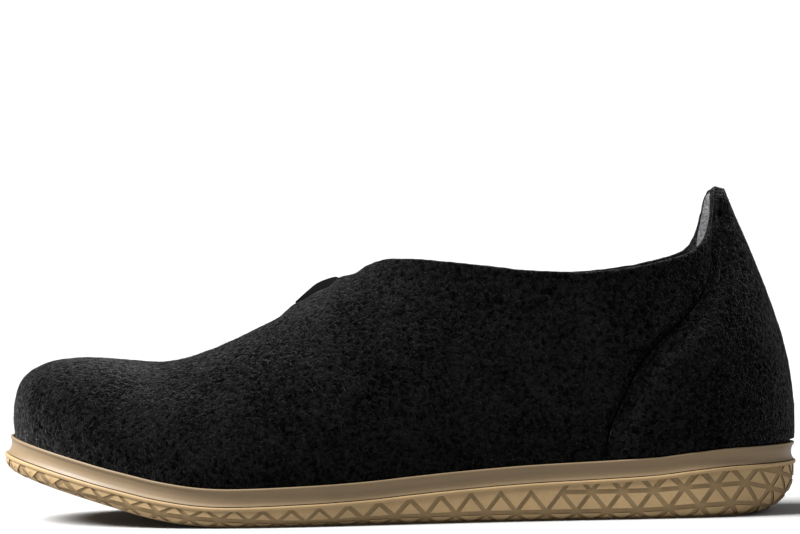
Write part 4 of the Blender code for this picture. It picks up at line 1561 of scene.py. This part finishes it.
def finish_tree(tree, surface, placing):
    """Set a piece on points, make the copies real and give them their material."""
    placed = add_node(tree, "GeometryNodeInstanceOnPoints", None, placing).outputs[0]
    real = add_node(tree, "GeometryNodeRealizeInstances", None, {0: placed}).outputs[0]
    dressed = add_node(
        tree, "GeometryNodeSetMaterial", None, {0: real, "Material": surface}).outputs[0]
    add_node(tree, "NodeGroupOutput", None, {0: dressed})
    return tree


def read_position(tree):
    place = add_node(tree, "GeometryNodeInputPosition").outputs[0]
    return add_node(tree, "ShaderNodeSeparateXYZ", None, {0: place}).outputs


def tread_tree(surface):
    """Node tree that fills a plate with raised triangles, clear of its border."""
    tree, given = new_tree("tread triangles", "Plate", ("Pitch", "Groove", "Depth"))
    pitch = given["Pitch"]
    half = maths(tree, "MULTIPLY", pitch, 0.5)
    row = maths(tree, "MULTIPLY", pitch, math.sqrt(3) / 2)
    across, deep = TREAD_POINTS
    lattice = add_node(
        tree, "GeometryNodeMeshGrid", None,
        {"Size X": maths(tree, "MULTIPLY", half, across - 1),
         "Size Y": maths(tree, "MULTIPLY", row, deep - 1),
         "Vertices X": across, "Vertices Y": deep}).outputs[0]
    spot = read_position(tree)
    whole_x = maths(tree, "ROUND", maths(tree, "DIVIDE", spot["X"], half))
    whole_y = maths(tree, "ROUND", maths(tree, "DIVIDE", spot["Y"], row))
    total = maths(tree, "ADD", whole_x, whole_y)
    kept = add_node(
        tree, "GeometryNodeCaptureAttribute", {"domain": "POINT"}, {0: lattice})
    kept.capture_items.new("FLOAT", "odd")
    tree.links.new(maths(tree, "FLOORED_MODULO", total, 2.0), kept.inputs[1])
    odd = kept.outputs[1]
    lean = maths(tree, "MULTIPLY_ADD", odd, 1 / 3, 1 / 3)
    shift = maths(tree, "MULTIPLY", lean, row)
    offset = add_node(tree, "ShaderNodeCombineXYZ", None, {"Y": shift}).outputs[0]
    moved = add_node(
        tree, "GeometryNodeSetPosition", None,
        {"Geometry": kept.outputs[0], "Offset": offset}).outputs[0]
    place = add_node(tree, "GeometryNodeInputPosition").outputs[0]
    above = add_node(
        tree, "ShaderNodeVectorMath", {"operation": "ADD"},
        {0: place, 1: (0.0, 0.0, 5.0 * MM)}).outputs[0]
    hit = add_node(
        tree, "GeometryNodeRaycast", None,
        {"Target Geometry": given["Plate"], "Source Position": above,
         "Ray Direction": (0.0, 0.0, -1.0), "Ray Length": 10.0 * MM}).outputs["Is Hit"]
    near = add_node(
        tree, "GeometryNodeProximity", {"target_element": "EDGES"},
        {0: given["Plate"]}).outputs["Distance"]
    clear = add_node(
        tree, "FunctionNodeCompare", {"data_type": "FLOAT", "operation": "GREATER_THAN"},
        {0: near, 1: maths(tree, "MULTIPLY", pitch, TREAD_CLEAR)}).outputs[0]
    wanted = add_node(
        tree, "FunctionNodeBooleanMath", {"operation": "AND"}, {0: hit, 1: clear}).outputs[0]
    radius = maths(tree, "DIVIDE", pitch, math.sqrt(3))
    large = maths(tree, "SUBTRACT", radius, given["Groove"])
    small = maths(tree, "MULTIPLY_ADD", given["Depth"], -0.7, large)
    pad = add_node(
        tree, "GeometryNodeMeshCone", {"fill_type": "NGON"},
        {"Vertices": 3, "Side Segments": 1, "Fill Segments": 1, "Radius Top": large,
         "Radius Bottom": small, "Depth": given["Depth"]}).outputs[0]
    turn = maths(tree, "MULTIPLY_ADD", odd, math.pi, math.pi / 2)
    angles = add_node(tree, "ShaderNodeCombineXYZ", None, {"Z": turn}).outputs[0]
    return finish_tree(tree, surface, {
        "Points": moved, "Selection": wanted, "Instance": pad, "Rotation": angles})


def set_inputs(modifier, values):
    """Set named inputs of a node tree modifier by their sockets' identifiers."""
    for item in modifier.node_group.interface.items_tree:
        if item.item_type == "SOCKET" and item.in_out == "INPUT" and item.name in values:
            modifier[item.identifier] = values[item.name]


class SLIPPER_OT_tread(bpy.types.Operator):
    """Raised triangles under the sole"""

    bl_idname = "slipper.tread"
    bl_label = "Tread"

    def execute(self, context):
        sizes = context.scene.slipper_sizes
        colours = context.scene.slipper_colours
        bm = bmesh.new()
        ring = []
        for column in range(0, COLUMNS, 2):
            inset, _ = WallProfile(column).at(LATTICE_START - TREAD_EDGE)
            sign, share = ring_place(column)
            flat, _ = edge_point(sign, share, inset + RELIEF_SLOPE + sizes.tread_border)
            ring.append(bm.verts.new((flat.x, flat.y, 0.0)))
        bm.faces.new(ring)
        gum = rubber_material("gum_rubber_tread", colours.gum, 0.7, MOULD_GRAIN, 0.1)
        made = new_object("tread_triangles", bm, [gum])
        spread = made.modifiers.new("tread", "NODES")
        spread.node_group = tread_tree(gum)
        set_inputs(spread, {
            "Pitch": sizes.tread_pitch, "Groove": sizes.tread_groove, "Depth": sizes.tread_depth})
        rounding = made.modifiers.new("moulded edges", "BEVEL")
        rounding.width = 0.2 * MM
        rounding.segments = 2
        make_plain(made, math.radians(45))
        if len(made.data.vertices) < 100:
            raise RuntimeError("the tread came out empty")
        for vertex in made.data.vertices:
            vertex.co = bend(vertex.co.x, vertex.co.y, max(0.0, vertex.co.z))
        take_place(made, None)
        return {"FINISHED"}


class SLIPPER_OT_midsole(bpy.types.Operator):
    """Smooth concave band of foam rubber with its footbed"""

    bl_idname = "slipper.midsole"
    bl_label = "Midsole band"

    def execute(self, context):
        colours = context.scene.slipper_colours
        shares = [row[1] for row in BAND_SECTION]
        insets = [row[0] for row in BAND_SECTION]
        height = BAND_HEIGHT - CLEARANCE
        rings = []
        for step in range(BAND_ROWS + 1):
            share = step / BAND_ROWS
            inset = smooth_value(shares, insets, share) * BAND_DEPTH
            rings.append((inset, CLEARANCE + share * height))
        edge = insets[-1] * BAND_DEPTH
        rings += [(edge + inset, BAND_HEIGHT + lift) for inset, lift in RIM_SECTION]
        bm = bmesh.new()
        made = [
            fine_ring(bm, lambda fine: fine_sole_point(fine, inset, lift))
            for inset, lift in rings]
        stack_rings(bm, made)
        ladder(bm, made[0])
        ladder(bm, made[-1])
        bmesh.ops.recalc_face_normals(bm, faces=bm.faces)
        foam = rubber_material("foam_rubber_satin", colours.foam, 0.5, FOAM_GRAIN, 0.045)
        piece = new_object("foam_midsole", bm, [foam])
        shade(piece.data, math.radians(50))
        take_place(piece, "midsole")
        return {"FINISHED"}


class SLIPPER_OT_insole(bpy.types.Operator):
    """Felt insole with a rounded edge and a shallow footprint"""

    bl_idname = "slipper.insole"
    bl_label = "Insole"

    def execute(self, context):
        colours = context.scene.slipper_colours
        inset = foot_inset() + FELT + 2 * CLEARANCE
        lift = floor_lift()
        edge = [edge_point(*fine_place(c), inset)[0] for c in range(FINE_COLUMNS)]
        border = np.array([(p.x, p.y, 0.0) for p in edge] + [(edge[0].x, edge[0].y, 0.0)])
        bm = bmesh.new()
        top = []
        for c in range(0, FINE_HALF + 1, 2):
            outer = edge[c]
            inner = edge[(-c) % FINE_COLUMNS]
            row = []
            for step in range(CROSS_STEPS + 1):
                t = 0.5 - 0.5 * math.cos(math.pi * step / CROSS_STEPS)
                row.append(outer.lerp(inner, t))
            top.append(row)
        flat = np.array([[(p.x, p.y, 0.0) for p in row] for row in top])
        gaps = line_distance(flat, border)
        lean = np.clip(1.0 - gaps / INSOLE_ROUND, 0.0, 1.0)
        curve = np.sqrt(np.clip(1.0 - lean ** 2, 0.0, 1.0))
        hollow = FOOTPRINT_DEPTH * np.clip((gaps - 6.0 * MM) / (12.0 * MM), 0.0, 1.0)
        grid = []
        base = []
        for i, row in enumerate(top):
            grid.append([])
            base.append([])
            for j, p in enumerate(row):
                rise = sole_height(p.x) + lift
                crown = (INSOLE_THICKNESS - INSOLE_SIDE) * curve[i, j] - hollow[i, j]
                level = rise + INSOLE_SIDE + crown
                grid[-1].append(bm.verts.new(bend(p.x, p.y, level)))
                base[-1].append(bm.verts.new(bend(p.x, p.y, rise + 0.05 * MM)))
        close_sheet(bm, grid, base, False)
        bmesh.ops.remove_doubles(bm, verts=bm.verts, dist=2e-5)
        bmesh.ops.dissolve_degenerate(bm, edges=bm.edges, dist=1e-6)
        bmesh.ops.recalc_face_normals(bm, faces=bm.faces)
        felt = felt_material("insole_felt_pressed", colours.lining, 0.7, 1.3, 2.0 * MM, 0.05)
        piece = new_object("felt_insole", bm, [felt])
        shade(piece.data, math.radians(60))
        take_place(piece, "insole")
        return {"FINISHED"}


class SLIPPER_OT_upper(bpy.types.Operator):
    """Boiled wool upper with a rounded cut edge"""

    bl_idname = "slipper.upper"
    bl_label = "Felt upper"

    def execute(self, context):
        sizes = context.scene.slipper_sizes
        colours = context.scene.slipper_colours
        wool = felt_material("boiled_wool_black", colours.wool, 0.08, 2.1, sizes.lump, 0.175)
        made = rolled_shell(
            "felt_upper", FELT_ROWS, edge=0.045, top_drop=NO_DROP, outer_gap=0.0,
            thickness=sizes.felt, radius=sizes.edge_round, seam_depth=sizes.seam_depth,
            surface=wool)
        roughen(made.data, sizes.lump, sizes.lump_height)
        shade(made.data, math.radians(70))
        take_place(made, "upper")
        return {"FINISHED"}


class SLIPPER_OT_lining(bpy.types.Operator):
    """Thin grey lining inside the upper"""

    bl_idname = "slipper.lining"
    bl_label = "Lining"

    def execute(self, context):
        sizes = context.scene.slipper_sizes
        colours = context.scene.slipper_colours
        felt = felt_material("lining_felt_grey", colours.lining, 0.7, 1.3, 1.6 * MM, 0.05)
        made = rolled_shell(
            "grey_lining", LINING_ROWS, edge=0.14, top_drop=LINING_DROP,
            outer_gap=sizes.felt - 0.04 * MM, thickness=sizes.lining, radius=0.22 * MM,
            seam_depth=0.0, surface=felt)
        shade(made.data, math.radians(70))
        take_place(made, None)
        return {"FINISHED"}


class SLIPPER_OT_heel_panel(bpy.types.Operator):
    """Felt panel round the heel, with a soft groove at its front edge"""

    bl_idname = "slipper.heel_panel"
    bl_label = "Heel panel"

    def execute(self, context):
        sizes = context.scene.slipper_sizes
        colours = context.scene.slipper_colours
        thick = COUNTER_GAP + COUNTER_FELT
        grid = []
        for index in range(PANEL_ROWS + 1):
            rise = PANEL_FOOT + index / PANEL_ROWS * PANEL_REACH
            row = []
            for column in range(-PANEL_COLUMNS, PANEL_COLUMNS + 1):
                sign = -1 if column <= 0 else 1
                across = 1.0 - (1.0 - abs(column) / PANEL_COLUMNS) ** PANEL_CROWDING
                share = across * counter_limit(sign, rise)
                point = upper_point(sign, share, rise)
                row.append((np.array(point), np.array(upper_normal(sign, share, rise))))
            grid.append(row)
        places, aways = np.moveaxis(np.array(grid), 2, 0)
        swell = np.ones(places.shape[:2])
        for side in (places[:, 0], places[:, -1]):
            near = np.clip(line_distance(places, side) / sizes.panel_round, 0.0, 1.0)
            swell = np.minimum(swell, near * near * (3.0 - 2.0 * near))
        lean = np.clip(1.0 - line_distance(places, places[-1]) / PANEL_ROUND_TOP, 0.0, 1.0)
        blunt = np.sqrt(np.clip(1.0 - lean ** 2, 0.0, 1.0))
        depth = sizes.seam_depth + 0.1 * MM
        hem = np.clip(1.0 - (TAB_HEIGHT - places[..., 2]) / HEM_REACH, 0.0, 1.0)
        full = thick + TAB_HEM * hem
        outer = places + aways * (((full + depth) * swell - depth) * blunt)[..., None]
        upward = unit(np.gradient(places, axis=0))
        stretch = np.clip((np.arange(len(places)) / PANEL_ROWS - 0.9) / 0.1, 0.0, 1.0) ** 2
        upward = upward * stretch[:, None, None]
        outer += upward * (0.8 * MM)
        inner = places - aways * (0.6 * MM) + upward * (0.3 * MM)
        bm = bmesh.new()
        hairy = bm.verts.layers.float.new("nap")
        face = [[bm.verts.new(spot) for spot in row] for row in outer]
        back = [[bm.verts.new(spot) for spot in row] for row in inner]
        for row in face[3:]:
            for vertex in row:
                vertex[hairy] = 1.0
        close_sheet(bm, face, back, True)
        bmesh.ops.recalc_face_normals(bm, faces=bm.faces)
        wool = bpy.data.materials["boiled_wool_black"]
        made = new_object("heel_panel", bm, [wool])
        roughen(made.data, sizes.lump, sizes.lump_height)
        shade(made.data, math.radians(70))
        take_place(made, "heel_counter")
        return {"FINISHED"}


class SLIPPER_OT_gore(bpy.types.Operator):
    """Elastic insert in the notch at the front of the collar"""

    bl_idname = "slipper.gore"
    bl_label = "Throat insert"

    def execute(self, context):
        colours = context.scene.slipper_colours
        alongs = [row[0] for row in GORE_ROWS][::-1] + [GORE_FRONT[0]]
        crowns = [row[1] for row in GORE_ROWS][::-1] + [GORE_FRONT[1]]
        bm = bmesh.new()
        sections = []
        for index in range(INSERT_STEPS + 1):
            along = alongs[0] + (alongs[-1] - alongs[0]) * index / INSERT_STEPS
            x = HEEL_X - along * SOLE_LENGTH
            crown = smooth_value(alongs, crowns, along) * INSTEP_HEIGHT
            notch, level = notch_edge(x)
            half = max(notch * 0.5, notch - 0.2 * MM)
            rim = level - 1.0 * MM
            roll = 0.9 * MM * max(0.0, 1.0 - index / 5) ** 2
            section = []
            for i in range(4 * INSERT_RIBS + 1):
                across = 2 * i / (4 * INSERT_RIBS) - 1
                wave = RIB_HEIGHT * math.cos(math.pi * 2 * INSERT_RIBS * (across + 1) / 2)
                height = rim + (crown - rim) * (1 - across * across) + wave - roll
                section.append(bm.verts.new((x, centre_y(x) + across * half, height)))
            for i in range(4 * INSERT_RIBS, -1, -4):
                spot = section[i].co
                section.append(bm.verts.new((x, spot.y, spot.z - 1.2 * MM + roll * 0.8)))
            sections.append(section)
        for a, b in zip(sections, sections[1:]):
            band_faces(bm, a, b)
        bm.faces.new(sections[0])
        bm.faces.new(sections[-1])
        bmesh.ops.recalc_face_normals(bm, faces=bm.faces)
        webbing = elastic_material("elastic_webbing_black", colours.elastic)
        made = new_object("elastic_insert", bm, [webbing])
        shade(made.data, math.radians(50))
        take_place(made, "throat_gore")
        return {"FINISHED"}


def nap_tree(surface):
    """Node tree that sets short bent hairs on the felt."""
    tree, given = new_tree("wool nap", "Felt", ("Density", "Length", "Width"))
    size = given["Length"]
    hairy = add_node(
        tree, "GeometryNodeInputNamedAttribute", {"data_type": "FLOAT"},
        {"Name": "nap"}).outputs[0]
    share = maths(tree, "GREATER_THAN", hairy, 0.95)
    spread = add_node(
        tree, "GeometryNodeDistributePointsOnFaces", {"distribute_method": "RANDOM"},
        {"Mesh": given["Felt"], "Density": maths(tree, "MULTIPLY", share, given["Density"]),
         "Seed": 7}).outputs
    ribbon = add_node(
        tree, "GeometryNodeMeshGrid", None,
        {"Size X": given["Width"], "Size Y": size, "Vertices X": 2,
         "Vertices Y": 3}).outputs[0]
    # A hair bends over more and more from its root to its tip
    along = maths(tree, "ADD", maths(tree, "DIVIDE", read_position(tree)["Y"], size), 0.5)
    square = maths(tree, "MULTIPLY", along, along)
    curl = maths(tree, "MULTIPLY", maths(tree, "MULTIPLY", square, size), -HAIR_CURL)
    root = maths(tree, "MULTIPLY", size, HAIR_ROOT)
    offset = add_node(tree, "ShaderNodeCombineXYZ", None, {"Y": root, "Z": curl}).outputs[0]
    hair = add_node(
        tree, "GeometryNodeSetPosition", None,
        {"Geometry": ribbon, "Offset": offset}).outputs[0]

    def random_vector(low, high, seed):
        return add_node(
            tree, "FunctionNodeRandomValue", {"data_type": "FLOAT_VECTOR"},
            {0: low, 1: high, "Seed": seed}).outputs[0]

    def rotate(start, turn):
        return add_node(
            tree, "FunctionNodeRotateRotation", {"rotation_space": "LOCAL"},
            {0: start, 1: turn}).outputs[0]

    flat, steep = [(math.radians(angle), 0.0, 0.0) for angle in HAIR_LEAN]
    spin = random_vector((0.0, 0.0, 0.0), (0.0, 0.0, math.tau), 5)
    turned = rotate(spread["Rotation"], spin)
    return finish_tree(tree, surface, {
        "Points": spread["Points"], "Instance": hair,
        "Rotation": rotate(turned, random_vector(flat, steep, 3)),
        "Scale": random_vector((0.8, 0.4, 0.5), (1.2, 1.0, 1.3), 9)})


class SLIPPER_OT_nap(bpy.types.Operator):
    """Loose wool hairs on the outside of the felt"""

    bl_idname = "slipper.nap"
    bl_label = "Wool nap"

    def execute(self, context):
        sizes = context.scene.slipper_sizes
        colours = context.scene.slipper_colours
        hair, _, shader = new_material("wool_hair_black")
        # Single wool hairs: dull, a little paler than the mat they stand on
        paler = [min(1.0, part * 1.5) for part in colours.wool[:3]] + [1.0]
        shader.inputs["Base Color"].default_value = paler
        shader.inputs["Roughness"].default_value = 0.8
        shader.inputs["Specular IOR Level"].default_value = 0.02
        for name, source, slot in (
                ("upper_nap", "felt_upper", "upper"),
                ("panel_nap", "heel_panel", "heel_counter")):
            mesh = bpy.data.objects[source].data.copy()
            made = bpy.data.objects.new(name, mesh)
            context.scene.collection.objects.link(made)
            spread = made.modifiers.new("nap", "NODES")
            spread.node_group = nap_tree(hair)
            set_inputs(spread, {
                "Density": sizes.nap_density, "Length": sizes.nap_length, "Width": sizes.nap_width})
            make_plain(made, math.radians(80))
            if len(made.data.vertices) < 100:
                raise RuntimeError("the nap came out empty")
            take_place(made, None)
        return {"FINISHED"}


def distant_light(name, toward, power, angle, colour):
    light = bpy.data.lights.new(name, "SUN")
    light.energy = power
    light.angle = math.radians(angle)
    light.color = colour
    made = bpy.data.objects.new(name, light)
    made.rotation_euler = (-Vector(toward)).to_track_quat("-Z", "Y").to_euler()
    bpy.context.scene.collection.objects.link(made)
    return made


class SLIPPER_OT_stage(bpy.types.Operator):
    """Pale floor, soft studio light and the camera"""

    bl_idname = "slipper.stage"
    bl_label = "Stage"

    def execute(self, context):
        scene = context.scene
        bm = bmesh.new()
        bmesh.ops.create_circle(bm, cap_ends=True, cap_tris=False, segments=96, radius=9.0)
        surface, _, shader = new_material("paper_floor_matt")
        # Matt white paper: even, without gloss
        shader.inputs["Base Color"].default_value = linear(FLOOR_PALE)
        shader.inputs["Roughness"].default_value = 1.0
        shader.inputs["Specular IOR Level"].default_value = 0.0
        floor = new_object("floor", bm, [surface])

        # A white wall far off all round, with a dimmer ceiling above it
        world = bpy.data.worlds.new("studio")
        world.use_nodes = True
        scene.world = world
        tree = world.node_tree
        sky = tree.nodes["Background"]
        aim = add_node(tree, "ShaderNodeTexCoord").outputs["Generated"]
        rise = add_node(tree, "ShaderNodeSeparateXYZ", None, {0: aim}).outputs["Z"]
        glow = stretch_range(tree, rise, 0.08, 0.25, 1.1, 0.15)
        tree.links.new(glow, sky.inputs["Strength"])
        sky.inputs["Color"].default_value = (1.0, 1.0, 1.0, 1.0)

        # A wide lamp ahead of the toe and a weak one behind the heel
        distant_light("key", (-0.66, -0.14, 0.77), 12.9, 32.0, (1.0, 0.995, 0.985))
        distant_light("fill", (0.85, -0.25, 0.6), 0.55, 50.0, (1.0, 1.0, 1.0))

        lens = bpy.data.cameras.new("camera")
        lens.lens = CAMERA_LENS
        lens.clip_start = 0.05
        lens.clip_end = 30.0
        camera = bpy.data.objects.new("camera", lens)
        scene.collection.objects.link(camera)
        camera.location = CAMERA_PLACE
        camera.rotation_euler = (math.pi / 2, CAMERA_ROLL, 0.0)
        scene.camera = camera
        scene.view_settings.view_transform = "Standard"
        return {"FINISHED"}


OPERATORS = (
    SLIPPER_OT_stage,
    SLIPPER_OT_outsole,
    SLIPPER_OT_tread,
    SLIPPER_OT_midsole,
    SLIPPER_OT_insole,
    SLIPPER_OT_upper,
    SLIPPER_OT_lining,
    SLIPPER_OT_heel_panel,
    SLIPPER_OT_gore,
    SLIPPER_OT_nap,
)


class SLIPPER_PT_panel(bpy.types.Panel):
    """Sizes, colours and pieces of the slipper"""

    bl_label = "Felt slipper"
    bl_idname = "SLIPPER_PT_panel"
    bl_space_type = "VIEW_3D"
    bl_region_type = "UI"
    bl_category = "Slipper"

    def draw(self, context):
        column = self.layout.column()
        for group in (context.scene.slipper_sizes, context.scene.slipper_colours):
            for name in group.bl_rna.properties.keys():
                if name not in ("name", "rna_type"):
                    column.prop(group, name)
        for operator in OPERATORS:
            column.operator(operator.bl_idname)


CLASSES = (SlipperSizes, SlipperColours) + OPERATORS + (SLIPPER_PT_panel,)


def register():
    for item in CLASSES:
        bpy.utils.register_class(item)
    bpy.types.Scene.slipper_sizes = bpy.props.PointerProperty(type=SlipperSizes)
    bpy.types.Scene.slipper_colours = bpy.props.PointerProperty(type=SlipperColours)


def unregister():
    del bpy.types.Scene.slipper_sizes
    del bpy.types.Scene.slipper_colours
    for item in reversed(CLASSES):
        bpy.utils.unregister_class(item)


def main():
    register()
    bpy.ops.slipper.stage()
    bpy.ops.slipper.outsole()
    bpy.ops.slipper.tread()
    bpy.ops.slipper.midsole()
    bpy.ops.slipper.insole()
    bpy.ops.slipper.upper()
    bpy.ops.slipper.lining()
    bpy.ops.slipper.heel_panel()
    bpy.ops.slipper.gore()
    bpy.ops.slipper.nap()


if __name__ == "__main__":
    main()
